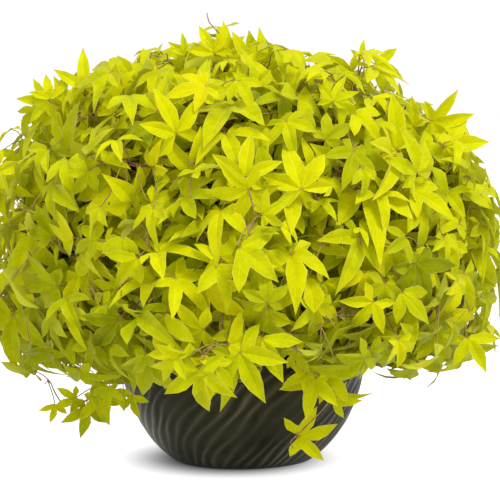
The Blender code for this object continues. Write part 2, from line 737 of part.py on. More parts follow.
def main():
    for old in list(bpy.data.objects):
        bpy.data.objects.remove(old)
    plant = bpy.data.collections.new("potted_sweet_potato_vine")
    guides = bpy.data.collections.new("guides")
    for collection in (plant, guides):
        bpy.context.scene.collection.children.link(collection)

    make_bowl(plant, material("dark_glazed_stoneware", (0.035, 0.033, 0.022), 0.35))
    make_soil(plant, material("potting_soil", (0.030, 0.020, 0.013), 0.95))
    make_stem(plant, material("woody_stem", (0.16, 0.10, 0.06), 0.85))
    vine_skin = material("vine", (0.33, 0.27, 0.12), 0.60)
    lime = material("lime_leaves", (0.56, 0.60, 0.02), 0.50)

    square = section("vine_section", 4, guides)
    triangle = section("twig_section", 3, guides)
    vines = []
    for name, ring, space, _most in spaces():
        vines.append(make_vine(f"{name}_vine", ring, space.middle, square, plant, vine_skin))
    leaf = LeafStencil()
    leaves = 0
    for number, (name, ring, space, most) in enumerate(spaces()):
        mass = Mass(f"{name}_leaves", ring, space, most, SEED + number)
        leaves += mass.grow(triangle, vines, leaf, plant, lime)
    print("leaves in all:", leaves)


main()
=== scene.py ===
# %% [markdown]
# # A potted sweet potato vine, dressed for its picture
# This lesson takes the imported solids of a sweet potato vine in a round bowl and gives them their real
# looks. The solids say where everything is and how far it reaches. Here every mass of leaves grows again
# with many more leaves of the real size, and the bowl gets its flutes and its glaze. We always start from
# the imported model, because a piece that stands in the same frame needs no fitting.

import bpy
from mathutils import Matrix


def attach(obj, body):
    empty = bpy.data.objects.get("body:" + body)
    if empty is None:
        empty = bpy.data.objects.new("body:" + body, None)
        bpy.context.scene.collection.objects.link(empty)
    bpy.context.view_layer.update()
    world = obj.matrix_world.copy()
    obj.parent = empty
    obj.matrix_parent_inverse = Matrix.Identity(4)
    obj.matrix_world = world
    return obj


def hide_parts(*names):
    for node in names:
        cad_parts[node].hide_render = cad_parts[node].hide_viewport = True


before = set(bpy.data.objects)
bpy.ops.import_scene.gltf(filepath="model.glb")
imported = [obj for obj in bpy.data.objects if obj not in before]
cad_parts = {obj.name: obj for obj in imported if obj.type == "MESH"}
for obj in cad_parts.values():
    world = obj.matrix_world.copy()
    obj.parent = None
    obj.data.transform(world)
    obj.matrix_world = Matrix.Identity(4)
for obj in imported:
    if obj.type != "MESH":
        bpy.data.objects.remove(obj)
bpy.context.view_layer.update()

# %% [markdown]
# ## The tools
# Blender's own module makes objects and materials. NumPy moves many thousands of points at once, which a
# plant with about 2,600 leaves needs: a loop over single vertices would be slow.

# %% Modules
import math
from collections import namedtuple

import bpy
import numpy as np
from mathutils.bvhtree import BVHTree

LAYOUT_SEED = 2207
chance = np.random.default_rng(LAYOUT_SEED)
bpy.context.scene.view_settings.view_transform = "Standard"
print("Blender", bpy.app.version_string)

# %% [markdown]
# ## Camera first
# A potted plant looks right from a few steps away through a long lens, a little above the table. The long
# lens keeps the bowl's ellipse flat. We place the camera on a line from its target and tilt it down along
# that line.

# %% Camera
TARGET = np.array((0.00975, 0.0, 0.273))
DISTANCE = 3.0
LOOK_DOWN = math.radians(5.3)
FIELD_WIDTH = 0.650  # metres across the picture at the target
SENSOR = 36.0

lens = bpy.data.cameras.new("camera")
lens.sensor_width = SENSOR
lens.lens = SENSOR * DISTANCE / FIELD_WIDTH
camera = bpy.data.objects.new("camera", lens)
bpy.context.scene.collection.objects.link(camera)
back = np.array((0.0, -math.cos(LOOK_DOWN), math.sin(LOOK_DOWN)))
camera.location = TARGET + DISTANCE * back
camera.rotation_euler = (math.pi / 2 - LOOK_DOWN, 0.0, 0.0)
bpy.context.scene.camera = camera
print("lens", round(lens.lens, 1), "mm")

# %% [markdown]
# ## Nodes in one line
# A material's maths is a chain of small nodes, and each takes several lines to make and join. These
# helpers do that in one line. A value that they are given is a plain number or colour, or another node's
# output.

# %% Helpers for nodes
def feed(tree, inlet, value):
    """Joins another node's output to an input, or sets the input's own value."""
    if isinstance(value, bpy.types.NodeSocket):
        tree.links.new(value, inlet)
    else:
        inlet.default_value = value


def math_node(tree, operation, *values, clamp=False):
    """Output of a Math node that works on these values."""
    made = tree.nodes.new("ShaderNodeMath")
    made.operation = operation
    made.use_clamp = clamp
    for inlet, value in zip(made.inputs, values):
        feed(tree, inlet, value)
    return made.outputs[0]


def mix_colours(tree, factor, below, above):
    """Output of a Mix node: the colour below where the factor is 0, the one above where it is 1."""
    made = tree.nodes.new("ShaderNodeMix")
    made.data_type = "RGBA"
    for name, value in (("Factor", factor), ("A", below), ("B", above)):
        feed(tree, made.inputs[name], value)
    return made.outputs["Result"]


# %% [markdown]
# ## Soft studio light
# The set is white, with a big soft box high on the right and a weaker one on the left. The world colour
# does most of the work, so shadows inside the leaves stay open, and the soft boxes give the leaves a
# bright side and the glaze its long highlights. Only the camera sees the world brighter, so the
# background comes out white.

# %% World and soft boxes
WORLD_STRENGTH = 0.65
WHITE_BEHIND = 1.02
SOFT_BOXES = (  # name, place, the point it looks at, size in metres, watts
    ("key_box", (1.2, -1.9, 2.8), (0.0, 0.0, 0.25), 1.2, 85.0),
    ("side_box", (-2.4, -1.6, 1.6), (0.0, 0.0, 0.2), 1.0, 20.0),
)


def soft_box(name, place, aim, size, watts):
    """A square area light that looks at a point."""
    light = bpy.data.lights.new(name, "AREA")
    light.shape = "SQUARE"
    light.size = size
    light.energy = watts
    lamp = bpy.data.objects.new(name, light)
    bpy.context.scene.collection.objects.link(lamp)
    way = np.array(aim) - np.array(place)
    turn = math.atan2(way[0], -way[1])
    tilt = math.atan2(math.hypot(way[0], way[1]), -way[2])
    lamp.location = place
    lamp.rotation_euler = (tilt, 0.0, turn + math.pi)


def white_world():
    """A white world, a little brighter for the camera than for the plant."""
    world = bpy.data.worlds.new("white_set")
    world.use_nodes = True
    tree = world.node_tree
    sky = tree.nodes["Background"]
    sky.inputs["Color"].default_value = (1.0, 1.0, 1.0, 1.0)
    seen = tree.nodes.new("ShaderNodeLightPath").outputs["Is Camera Ray"]
    level = math_node(tree, "MULTIPLY_ADD", seen, WHITE_BEHIND - WORLD_STRENGTH, WORLD_STRENGTH)
    tree.links.new(level, sky.inputs["Strength"])
    bpy.context.scene.world = world


white_world()
for box in SOFT_BOXES:
    soft_box(*box)
print("a white set with", len(SOFT_BOXES), "soft boxes")

# %% [markdown]
# ## The mound's outline
# The plant is pruned by nothing but light, yet it has a clear outline: a rounded block, a little lumpy,
# with some shoots that stand out. The solids come from this same rule, so the leaves that grow here by
# rule keep to their shape. Everything is told in directions from the heart of the mound, as on a globe.

# %% Outline of the mound
HEART = np.array((0.0, 0.0, 0.262))
MOUND_HALF_WIDTH = 0.346
MOUND_HALF_DEPTH = 0.332
MOUND_RISE = 0.296
MOUND_DROP = 0.156
POWER_ABOVE = 2.45
POWER_BELOW = 4.0
LUMPS = ((3, 0.9, 0.016), (5, 2.3, 0.012), (7, 4.1, 0.010))  # waves round, phase, share of the reach
LUMP_TWIST = 2.5
TUFTS = (  # degrees round and up, half width in degrees, metres out
    (-62.0, 50.0, 12.0, 0.030),
    (-40.0, 82.0, 9.0, 0.026),
    (60.0, 54.0, 10.0, 0.026),
    (96.0, 26.0, 12.0, 0.014),
    (168.0, 48.0, 13.0, 0.026),
    (-128.0, 42.0, 12.0, 0.026),
)
UP = np.array((0.0, 0.0, 1.0))


def unit(vectors):
    """The same directions with length 1."""
    return vectors / np.maximum(np.linalg.norm(vectors, axis=-1, keepdims=True), 1e-9)


def direction(round_degrees, up_degrees):
    """Unit vector at so many degrees round from the front (-Y) towards +X, and up from level."""
    a, e = np.radians(round_degrees), np.radians(up_degrees)
    return np.stack([np.sin(a) * np.cos(e), -np.cos(a) * np.cos(e), np.sin(e) + 0.0 * a], axis=-1)


def reach(ways):
    """How far the mound goes from its heart along unit vectors."""
    x, y, z = ways[..., 0], ways[..., 1], ways[..., 2]
    power = np.where(z > 0, POWER_ABOVE, POWER_BELOW)
    rise = np.where(z > 0, MOUND_RISE, MOUND_DROP)
    level = np.hypot(x / MOUND_HALF_WIDTH, y / MOUND_HALF_DEPTH)
    plain = (level**power + np.abs(z / rise) ** power) ** (-1.0 / power)
    around, up = np.arctan2(x, -y), np.arcsin(np.clip(z, -1.0, 1.0))
    lump = sum(share * np.sin(count * around + phase + LUMP_TWIST * up) for count, phase, share in LUMPS)
    tuft = np.zeros_like(x)
    for tuft_round, tuft_up, width, extra in TUFTS:
        apart = np.degrees(np.arccos(np.clip(ways @ direction(tuft_round, tuft_up), -1.0, 1.0)))
        tuft = np.maximum(tuft, extra * (1.0 - np.minimum(1.0, apart / width) ** 2))
    return plain * (1.0 + lump * np.cos(up)) + tuft


def share_of_reach(points):
    """How far out each point is: 0 at the heart, 1 on the outline."""
    out = points - HEART
    distance = np.linalg.norm(out, axis=-1)
    return distance / reach(out / np.maximum(distance, 1e-9)[..., None])


def outline_point(round_degrees, up_degrees, share):
    """The point in this direction from the heart, at this share of the reach."""
    way = direction(round_degrees, up_degrees)
    return HEART + way * (reach(way) * share)[..., None]


print("the mound reaches", round(float(reach(UP)), 3), "m up from its heart")

# %% [markdown]
# ## Meshes from arrays
# Hundreds of leaves become one mesh by stacking their points, so `mesh_piece` takes all the points and
# faces at once. Bowl, soil and stem are turned shapes: rings of points, one above the other, with quads
# between them. Every piece of the plant rides on the body `root`, the only body of this model. A piece
# that stands for a solid hides the one it replaces.

# %% Helpers that make a piece
def mesh_piece(name, points, faces, materials, which=None):
    """A smooth mesh object of triangles or quads; which gives each face the number of its material."""
    mesh = bpy.data.meshes.new(name)
    mesh.vertices.add(len(points))
    mesh.vertices.foreach_set("co", np.asarray(points, np.float32).ravel())
    mesh.loops.add(faces.size)
    mesh.loops.foreach_set("vertex_index", np.asarray(faces, np.int32).ravel())
    mesh.polygons.add(len(faces))
    mesh.polygons.foreach_set("loop_start", np.arange(0, faces.size, faces.shape[1], dtype=np.int32))
    for material in materials:
        mesh.materials.append(material)
    if which is not None:
        mesh.polygons.foreach_set("material_index", np.asarray(which, np.int32))
    mesh.polygons.foreach_set("use_smooth", np.full(len(faces), True))
    mesh.update(calc_edges=True)
    piece = bpy.data.objects.new(name, mesh)
    bpy.context.scene.collection.objects.link(piece)
    return piece


def mark_points(piece, name, kind, field, values):
    """Keeps a value for each point of the piece, for its finish to read."""
    mark = piece.data.attributes.new(name, kind, "POINT")
    mark.data.foreach_set(field, np.asarray(values, np.float32).ravel())


def join_parts(parts):
    """Stacks (points, faces) pairs into one pair."""
    starts = np.cumsum([0, *(len(points) for points, _faces in parts)])
    faces = [faces + start for (_points, faces), start in zip(parts, starts)]
    return np.concatenate([points for points, _faces in parts]), np.concatenate(faces)


# %% Helpers for rings
def steps_round(count):
    """So many angles, evenly spread round a circle."""
    return np.arange(count) * math.tau / count


def ring(radius, around, height):
    """Points of a ring at these angles. Radius and height are one number, or one for each point."""
    x, y = radius * np.cos(around), radius * np.sin(around)
    return np.stack([x, y, np.broadcast_to(height, x.shape)], axis=1)


def grid_faces(rows, columns):
    """Quads of a grid whose columns close to a ring."""
    row, column = np.mgrid[0 : rows - 1, 0:columns]
    beside = (column + 1) % columns
    here, above = row * columns, (row + 1) * columns
    return np.stack([here + column, here + beside, above + beside, above + column], axis=-1).reshape(-1, 4)


def turned_piece(name, rows, finish):
    """A piece through rings of the same number of points, from its foot up."""
    return mesh_piece(name, np.concatenate(rows), grid_faces(len(rows), len(rows[0])), [finish])


# %% [markdown]
# ## Shader groups that several finishes share
# Living and fired surfaces are never one colour. The group `mottle` mixes two tones by soft noise, and
# gives a height for the bump. It is built once, with named inputs, and each material sets its own values.
# The group `veins` is for the leaves: it turns a point's place in its lobe into masks for the midrib, the
# side veins, the edge and the hub where the stalk comes in.

# %% Group: mottle
NOISE_DETAIL = 4.0
NOISE_MIDDLE = 0.5


def socket(group, name, way, kind, value=None):
    """Adds an input or output to a group, with a value of its own where one is given."""
    made = group.interface.new_socket(name=name, in_out=way, socket_type=kind)
    if value is not None:
        made.default_value = value


def mottle_group():
    """Two tones mixed by soft noise, whose contrast can be raised, and the noise itself as a height."""
    group = bpy.data.node_groups.new("mottle", "ShaderNodeTree")
    socket(group, "Tone A", "INPUT", "NodeSocketColor", (0.5, 0.5, 0.5, 1.0))
    socket(group, "Tone B", "INPUT", "NodeSocketColor", (0.2, 0.2, 0.2, 1.0))
    socket(group, "Scale", "INPUT", "NodeSocketFloat", 20.0)
    socket(group, "Contrast", "INPUT", "NodeSocketFloat", 2.0)
    socket(group, "Color", "OUTPUT", "NodeSocketColor")
    socket(group, "Mask", "OUTPUT", "NodeSocketFloat")
    socket(group, "Height", "OUTPUT", "NodeSocketFloat")
    given, told = group.nodes.new("NodeGroupInput"), group.nodes.new("NodeGroupOutput")
    place = group.nodes.new("ShaderNodeTexCoord")
    noise = group.nodes.new("ShaderNodeTexNoise")
    noise.inputs["Detail"].default_value = NOISE_DETAIL
    group.links.new(place.outputs["Object"], noise.inputs["Vector"])
    group.links.new(given.outputs["Scale"], noise.inputs["Scale"])
    off_middle = math_node(group, "SUBTRACT", noise.outputs["Fac"], NOISE_MIDDLE)
    mask = math_node(group, "MULTIPLY_ADD", off_middle, given.outputs["Contrast"], NOISE_MIDDLE, clamp=True)
    colour = mix_colours(group, mask, given.outputs["Tone A"], given.outputs["Tone B"])
    for name, value in (("Color", colour), ("Mask", mask), ("Height", noise.outputs["Fac"])):
        group.links.new(value, told.inputs[name])
    return group


MOTTLE = mottle_group()
print("group", MOTTLE.name, "is ready")

# %% Group: veins
MIDRIB_END = 0.10  # shares of the way from the midrib to the edge
EDGE_START = 0.88
HUB_END = 0.06  # share of the blade's length
VEIN_SLANT = -0.18  # side veins run outward and forward
VEIN_END = 0.20


def ramp(tree, value, end, start=0.0):
    """1 where the value is at start, falling to 0 at end."""
    fall = tree.nodes.new("ShaderNodeMapRange")
    for name, number in (("From Min", start), ("From Max", end), ("To Min", 1.0), ("To Max", 0.0)):
        fall.inputs[name].default_value = number
    tree.links.new(value, fall.inputs["Value"])
    return fall.outputs[0]


def vein_group():
    """Midrib, side veins, edge and hub from a point's way across its lobe (X) and out along the blade (Y)."""
    group = bpy.data.node_groups.new("veins", "ShaderNodeTree")
    socket(group, "Place", "INPUT", "NodeSocketVector")
    socket(group, "Count", "INPUT", "NodeSocketFloat", 9.0)
    for name in ("Midrib", "Side Veins", "Edge", "Hub"):
        socket(group, name, "OUTPUT", "NodeSocketFloat")
    given, told = group.nodes.new("NodeGroupInput"), group.nodes.new("NodeGroupOutput")
    split = group.nodes.new("ShaderNodeSeparateXYZ")
    group.links.new(given.outputs["Place"], split.inputs[0])
    across, out = split.outputs["X"], split.outputs["Y"]
    slanted = math_node(group, "MULTIPLY_ADD", across, VEIN_SLANT, out)
    turns = math_node(group, "MULTIPLY", slanted, given.outputs["Count"])
    swing = math_node(group, "PINGPONG", turns, 0.5)
    group.links.new(ramp(group, across, MIDRIB_END), told.inputs["Midrib"])
    group.links.new(ramp(group, swing, VEIN_END), told.inputs["Side Veins"])
    group.links.new(ramp(group, across, EDGE_START, 1.0), told.inputs["Edge"])
    group.links.new(ramp(group, out, HUB_END), told.inputs["Hub"])
    return group


VEINS = vein_group()
print("group", VEINS.name, "is ready")

# %% [markdown]
# ## One way to start every material
# Each finish has a Principled shader, a `mottle` for its colour and a bump from fine noise. What differs
# is the tones, the sizes and the gloss, so a helper takes those and gives back the nodes that a finish
# may add to.

# %% Helper: a mottled material
BUMP_DISTANCE = 0.001
Finish = namedtuple("Finish", "material tree shader mottle")


def mottled(name, tone, other, scale, contrast, roughness, bump=0.1, fine=400.0):
    """A finish that wanders between two tones. Bump and fine are the strength and scale of its grain."""
    made = bpy.data.materials.new(name)
    made.use_nodes = True
    tree = made.node_tree
    shader = tree.nodes["Principled BSDF"]
    shader.inputs["Roughness"].default_value = roughness
    blend, grain = tree.nodes.new("ShaderNodeGroup"), tree.nodes.new("ShaderNodeGroup")
    blend.node_tree = grain.node_tree = MOTTLE
    values = (("Tone A", (*tone, 1.0)), ("Tone B", (*other, 1.0)), ("Scale", scale), ("Contrast", contrast))
    for inlet, value in values:
        blend.inputs[inlet].default_value = value
    tree.links.new(blend.outputs["Color"], shader.inputs["Base Color"])
    grain.inputs["Scale"].default_value = fine
    lift = tree.nodes.new("ShaderNodeBump")
    lift.inputs["Strength"].default_value = bump
    lift.inputs["Distance"].default_value = BUMP_DISTANCE
    tree.links.new(grain.outputs["Height"], lift.inputs["Height"])
    tree.links.new(lift.outputs["Normal"], shader.inputs["Normal"])
    return Finish(made, tree, shader, blend)


# %% [markdown]
# ## The glazed bowl
# The real bowl is stoneware under a dark, thick glaze. Twisted flutes run round it, combed into the soft
# clay, and on their ridges the glaze runs thin and breaks to a lighter brown. We could paint the flutes
# with a bump, but they change the bowl's edge and its reflections, so they are real relief. The mesh's
# own columns follow the twist, so each ridge is one crisp line of points. A hand never combs evenly, so
# waves make the flutes sway and their depth and their pale ridges come and go.

# %% Bowl
BOWL_HEIGHT = 0.150
BOWL_FOOT_RADIUS = 0.087
BOWL_RIM_RADIUS = 0.160
BOWL_WALL = 0.008
BOWL_FLOOR = 0.011
BOWL_CURVE = (2.2, 0.8)
WALL_START, WALL_END = 0.002, 0.0055  # metres above the ground and below the rim
WALL_ROWS = 72
LIP_INNER = 0.005  # metres below the rim where the lip ends inside
LIP = ((0.0, 0.0042), (0.0006, 0.0018), (0.0022, 0.0003), (0.0040, 0.0), (0.0058, 0.0003), (0.0074, 0.0018))
FOOT = ((0.0015, 0.0004), (0.0040, 0.0))  # metres in from the foot's radius and up from the ground
FLOOR_ROUND = 0.004
INSIDE_ROWS = 9
MIDDLE_RADIUS = 0.012
QUARTER = math.pi / 2


def bowl_radius(height):
    """Outer radius of the bowl at this height."""
    rise, round_off = BOWL_CURVE
    share = (1.0 - (1.0 - np.clip(height / BOWL_HEIGHT, 0.0, 1.0)) ** rise) ** round_off
    return BOWL_FOOT_RADIUS + (BOWL_RIM_RADIUS - BOWL_FOOT_RADIUS) * share


print("bowl:", round(2000.0 * BOWL_RIM_RADIUS), "mm across,", round(1000.0 * BOWL_HEIGHT), "mm high")

# %% Flutes
FLUTES = 48
FLUTE_STEPS = 8
FLUTE_DEPTH = 0.0015
FLUTE_TWIST = 0.85  # radians from the foot to the rim
FLUTE_FADES = (0.06, 0.05)  # shares of the wall over which the flutes end, at the foot and at the rim
FLUTE_SWAYS = ((0.030, 3.0, 0.0, 1.0), (0.020, 7.0, 11.0, 0.0), (0.011, 13.0, -17.0, 0.0))
CLAY_WAVES = ((0.0004, 3.0, 9.0, 0.0), (0.0003, 7.0, -5.0, 0.0))
DEPTH_MIDDLE = 0.72
DEPTH_PATCHES = ((0.28, 2.0, 6.0, 0.0), (1.0, 5.0, 0.0, 1.0))
PALE_MIDDLE = 0.50
PALE_PATCHES = ((0.50, 2.0, 4.0, 0.0), (1.0, 5.0, -3.0, 0.0))
CREST_SLOPE, CREST_POWER = 2.8, 1.4
LIP_PALE = 0.6


def waves(table, around, share):
    """Waves of a size and a count round the bowl. They turn by so much up the wall and start at a phase."""
    return [size * np.sin(count * around + climb * share + phase) for size, count, climb, phase in table]


def fluted_wall(around, share):
    """One ring of the wall, and how pale each of its points is."""
    fold = (np.arange(len(around)) % FLUTE_STEPS) / FLUTE_STEPS
    hollow = 1.0 - (2.0 * fold - 1.0) ** 2
    crest = np.clip(1.0 - CREST_SLOPE * np.minimum(fold, 1.0 - fold), 0.0, 1.0) ** CREST_POWER
    height = WALL_START + (BOWL_HEIGHT - WALL_END - WALL_START) * share
    at_foot, at_rim = FLUTE_FADES
    fade = np.clip(share / at_foot, 0.0, 1.0) * np.clip((1.0 - share) / at_rim, 0.0, 1.0)
    turn = around + FLUTE_TWIST * share + sum(waves(FLUTE_SWAYS, around, share))
    depth = FLUTE_DEPTH * (DEPTH_MIDDLE + math.prod(waves(DEPTH_PATCHES, around, share)))
    pale = crest * fade * (PALE_MIDDLE + math.prod(waves(PALE_PATCHES, around, share)))
    radius = bowl_radius(height) + (sum(waves(CLAY_WAVES, around, share)) - depth * hollow) * fade
    return ring(radius, turn - QUARTER, height), pale


def make_bowl(finish):
    """The bowl in rings: under the foot, up the fluted wall, over the lip and down the inside."""
    around = steps_round(FLUTES * FLUTE_STEPS)
    foot = [(MIDDLE_RADIUS, 0.0), *((BOWL_FOOT_RADIUS - inward, up) for inward, up in reversed(FOOT))]
    rows = [ring(radius, around - QUARTER, height) for radius, height in foot]
    pale = [np.zeros(len(around)) for _row in rows]
    for share in np.linspace(0.0, 1.0, WALL_ROWS):
        row, paleness = fluted_wall(around, share)
        rows.append(row)
        pale.append(paleness)
    lip = [(BOWL_RIM_RADIUS - inward, BOWL_HEIGHT - down) for inward, down in LIP]
    depths = np.linspace(BOWL_HEIGHT - LIP_INNER, BOWL_FLOOR + FLOOR_ROUND, INSIDE_ROWS)
    inside = [(bowl_radius(height) - BOWL_WALL, height) for height in depths]
    for radius, height in [*lip, *inside, (MIDDLE_RADIUS, BOWL_FLOOR)]:
        rows.append(ring(radius, around + FLUTE_TWIST - QUARTER, height))
        pale.append(np.full(len(around), LIP_PALE if height > BOWL_HEIGHT - LIP_INNER else 0.0))
    piece = turned_piece("glazed_bowl", rows, finish)
    mark_points(piece, "ridge", "FLOAT", "value", np.concatenate(pale))
    return piece


# %% Glaze
GLAZE_BREAK = (0.150, 0.125, 0.064, 1.0)  # thin glaze on a ridge
# painted glint: a pale colour mixed into the glaze on the ridges where the wall turns away from the camera, a
# painted reflection
PAINTED_GLINT = (0.62, 0.60, 0.48, 1.0)
PAINTED_GLINT_BLEND, PAINTED_GLINT_POWER = 0.30, 2.0
GLAZE_GLOSS, GLAZE_TINT = 0.18, (1.0, 0.92, 0.58, 1.0)


def make_glaze():
    """Dark glaze that breaks to brown on the ridges, with a painted glint on them where the wall turns away.
    """
    glaze = mottled(
        "dark_glaze", (0.0270, 0.0285, 0.0140), (0.0052, 0.0054, 0.0020),
        scale=22.0, contrast=2.4, roughness=0.28, bump=0.06, fine=900.0,
    )
    thin = glaze.tree.nodes.new("ShaderNodeAttribute")
    thin.attribute_name = "ridge"
    worn = math_node(glaze.tree, "MULTIPLY", thin.outputs["Fac"], glaze.mottle.outputs["Mask"])
    broken = mix_colours(glaze.tree, worn, glaze.mottle.outputs["Color"], GLAZE_BREAK)
    glancing = glaze.tree.nodes.new("ShaderNodeLayerWeight")
    glancing.inputs["Blend"].default_value = PAINTED_GLINT_BLEND
    steep = math_node(glaze.tree, "POWER", glancing.outputs["Facing"], PAINTED_GLINT_POWER)
    painted_glint = math_node(glaze.tree, "MULTIPLY", steep, thin.outputs["Fac"])
    glaze.tree.links.new(mix_colours(glaze.tree, painted_glint, broken, PAINTED_GLINT), glaze.shader.inputs["Base Color"])
    glaze.shader.inputs["Specular IOR Level"].default_value = GLAZE_GLOSS
    glaze.shader.inputs["Specular Tint"].default_value = GLAZE_TINT
    return glaze.material


bowl = make_bowl(make_glaze())
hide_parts("bowl")
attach(bowl, "root")
print("bowl:", len(bowl.data.polygons), "faces,", FLUTES, "flutes")

# %% [markdown]
# ## Hanging holes
# Three small holes just under the rim take a hanger's wires. Cutting the wall would need a Boolean
# through the flutes, so each hole is a small dish let into the glaze, with a soft rim. Its near-black
# colour is painted shade, for the dark inside of a real hole.

# %% Hanging holes
HOLES_ROUND = (22.6, 142.6, -97.4)  # degrees
HOLE_HEIGHT = 0.134
HOLE_RADIUS = 0.0034
HOLE_STEPS = 16
HOLE_ROWS = (  # share of the radius, metres out of the wall
    (1.15, -0.0020),
    (1.10, 0.0002),
    (0.90, 0.0003),
    (0.60, -0.0015),
    (0.05, -0.0022),
)


def make_holes(finish):
    """The three dishes as one piece."""
    turn = steps_round(HOLE_STEPS)
    parts = []
    for turned in HOLES_ROUND:
        out = direction(turned, 0.0)
        rim = np.cross(UP, out) * np.cos(turn)[:, None] + UP * np.sin(turn)[:, None]
        wall = out * float(bowl_radius(HOLE_HEIGHT)) + UP * HOLE_HEIGHT
        rows = [wall + rim * HOLE_RADIUS * share + out * lift for share, lift in HOLE_ROWS]
        parts.append((np.concatenate(rows), grid_faces(len(rows), HOLE_STEPS)))
    points, faces = join_parts(parts)
    return mesh_piece("hanging_holes", points, faces, [finish])


# painted shade: the dish is near black, as a real hole looks dark inside
painted_hole_shade = mottled(
    "hole_painted_shade", (0.004, 0.004, 0.003), (0.001, 0.001, 0.001),
    scale=300.0, contrast=2.0, roughness=0.9,
)
holes = make_holes(painted_hole_shade.material)
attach(holes, "root")
print(len(HOLES_ROUND), "hanging holes")

# %% [markdown]
# ## Potting soil
# Hidden under the leaves, but anyone who lifts a vine sees it: dark crumbs with paler bits. A ring grid is
# pushed up and down by several waves, and the finish adds the crumbs.

# %% Soil
SOIL_BELOW_RIM = 0.016
SOIL_SLOPE = 0.004
SOIL_RINGS = 44
SOIL_STEPS = 160
SOIL_MIDDLE = 0.02  # share of the radius where the first ring lies
SOIL_GAP = 0.0012  # to the bowl's inside
SOIL_SIDE_GAP = 0.0016
SOIL_SIDE_HEIGHTS = (0.128, 0.120)
SOIL_SUNK = 0.0006  # the crumbs' middle lies under the solid's top
CALM_STEM, CALM_STEM_FADE = 0.029, 0.006  # metres round the stem that stay flat, and the way to full crumbs
CALM_EDGE = 0.02
COARSE_CRUMBS, FINE_CRUMBS = 0.0011, 0.0007
COARSE_X, COARSE_Y = (310.0, 40.0, 90.0), (280.0, 30.0, 110.0)  # radians a metre, their sway, and its own
FINE_X, FINE_Y = (720.0, 2.0), (690.0, 1.0)  # radians a metre, phase


def soil_height(radius):
    """Height of the soil's top at this distance from the middle."""
    return BOWL_HEIGHT - SOIL_BELOW_RIM - SOIL_SLOPE * (radius / BOWL_RIM_RADIUS) ** 2


def crumbs(x, y):
    """Uneven ground from waves that cross each other."""
    (turn_x, sway_x, bend_x), (turn_y, sway_y, bend_y) = COARSE_X, COARSE_Y
    wave = np.sin(turn_x * x + sway_x * np.sin(bend_x * y)) * np.sin(turn_y * y + sway_y * np.sin(bend_y * x))
    (turn_x, phase_x), (turn_y, phase_y) = FINE_X, FINE_Y
    return COARSE_CRUMBS * wave + FINE_CRUMBS * np.sin(turn_x * x + phase_x) * np.sin(turn_y * y + phase_y)


def make_soil(finish):
    """Rings of soil from the middle to the wall and a little way down it."""
    around = steps_round(SOIL_STEPS)
    edge = float(bowl_radius(BOWL_HEIGHT - SOIL_BELOW_RIM)) - BOWL_WALL - SOIL_GAP
    rows = []
    for share in np.linspace(SOIL_MIDDLE, 1.0, SOIL_RINGS):
        radius = edge * share
        calm = min(1.0, max(0.0, (radius - CALM_STEM) / CALM_STEM_FADE)) * min(1.0, (1.0 - share) / CALM_EDGE)
        uneven = crumbs(radius * np.cos(around), radius * np.sin(around)) - SOIL_SUNK
        rows.append(ring(radius, around, soil_height(radius) + uneven * calm))
    for height in SOIL_SIDE_HEIGHTS:
        rows.append(ring(float(bowl_radius(height)) - BOWL_WALL - SOIL_SIDE_GAP, around, height))
    faces = grid_faces(len(rows), SOIL_STEPS)[:, ::-1]
    return mesh_piece("soil_surface", np.concatenate(rows), faces, [finish])


earth = mottled(
    "potting_soil", (0.040, 0.026, 0.016), (0.012, 0.008, 0.005),
    scale=160.0, contrast=3.5, roughness=0.95, bump=0.9, fine=500.0,
)
soil = make_soil(earth.material)
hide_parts("soil")
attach(soil, "root")
print("soil:", len(soil.data.polygons), "faces")

# %% [markdown]
# ## Tubes
# Stem, vines, twigs and leaf stalks are all tapering tubes along a curved line. One function makes many
# tubes of the same number of points at once: at each point it finds the line's direction and lays a small
# ring of points across it. The first and last rings close to a point, so no tube is open.

# %% Helper: many tubes at once
def tubes(lines, radii, sides):
    """(points, triangles) of tapering tubes along lines of shape (tubes, points, 3)."""
    lines = np.asarray(lines, float)
    count, length = lines.shape[:2]
    radii = np.broadcast_to(radii, (count, length))
    along = unit(np.gradient(lines, axis=1))
    whole = np.abs(lines[:, -1] - lines[:, 0])
    away = np.eye(3)[np.argmin(whole, axis=1)][:, None, :]
    side = unit(np.cross(along, away))
    up = np.cross(side, along)
    turn = steps_round(sides)
    spokes = side[:, :, None, :] * np.cos(turn)[:, None] + up[:, :, None, :] * np.sin(turn)[:, None]
    rings = lines[:, :, None, :] + spokes * radii[:, :, None, None]
    points = np.concatenate([rings.reshape(count, -1, 3), lines[:, :1], lines[:, -1:]], axis=1)
    quads = grid_faces(length, sides)
    body = np.concatenate([quads[:, (0, 1, 2)], quads[:, (0, 2, 3)]])
    number = np.arange(sides)
    beside = (number + 1) % sides
    last = (length - 1) * sides
    first_cap = np.stack([np.full(sides, length * sides), beside, number], axis=1)
    last_cap = np.stack([np.full(sides, length * sides + 1), last + number, last + beside], axis=1)
    faces = np.concatenate([body, first_cap, last_cap])
    each = np.arange(count)[:, None, None] * points.shape[1]
    return points.reshape(-1, 3), (faces[None] + each).reshape(-1, 3)


def bezier(start, lift, end, arrive, count):
    """Points on smooth curves that leave start along lift and come to end along arrive; works on many."""
    t = np.linspace(0.0, 1.0, count)[:, None]
    start, lift, end, arrive = (np.asarray(v, float)[..., None, :] for v in (start, lift, end, arrive))
    first, second = (start + lift) * 3 * t * (1 - t) ** 2, (end - arrive) * 3 * t * t * (1 - t)
    return start * (1 - t) ** 3 + first + second + end * t**3


# %% [markdown]
# ## The woody stem
# An old vine has a short woody foot with a flare where it meets the soil, and a ridged, corky bark. It is
# made like the bowl, as rings, but each ring is pushed in and out to give the bark its furrows.

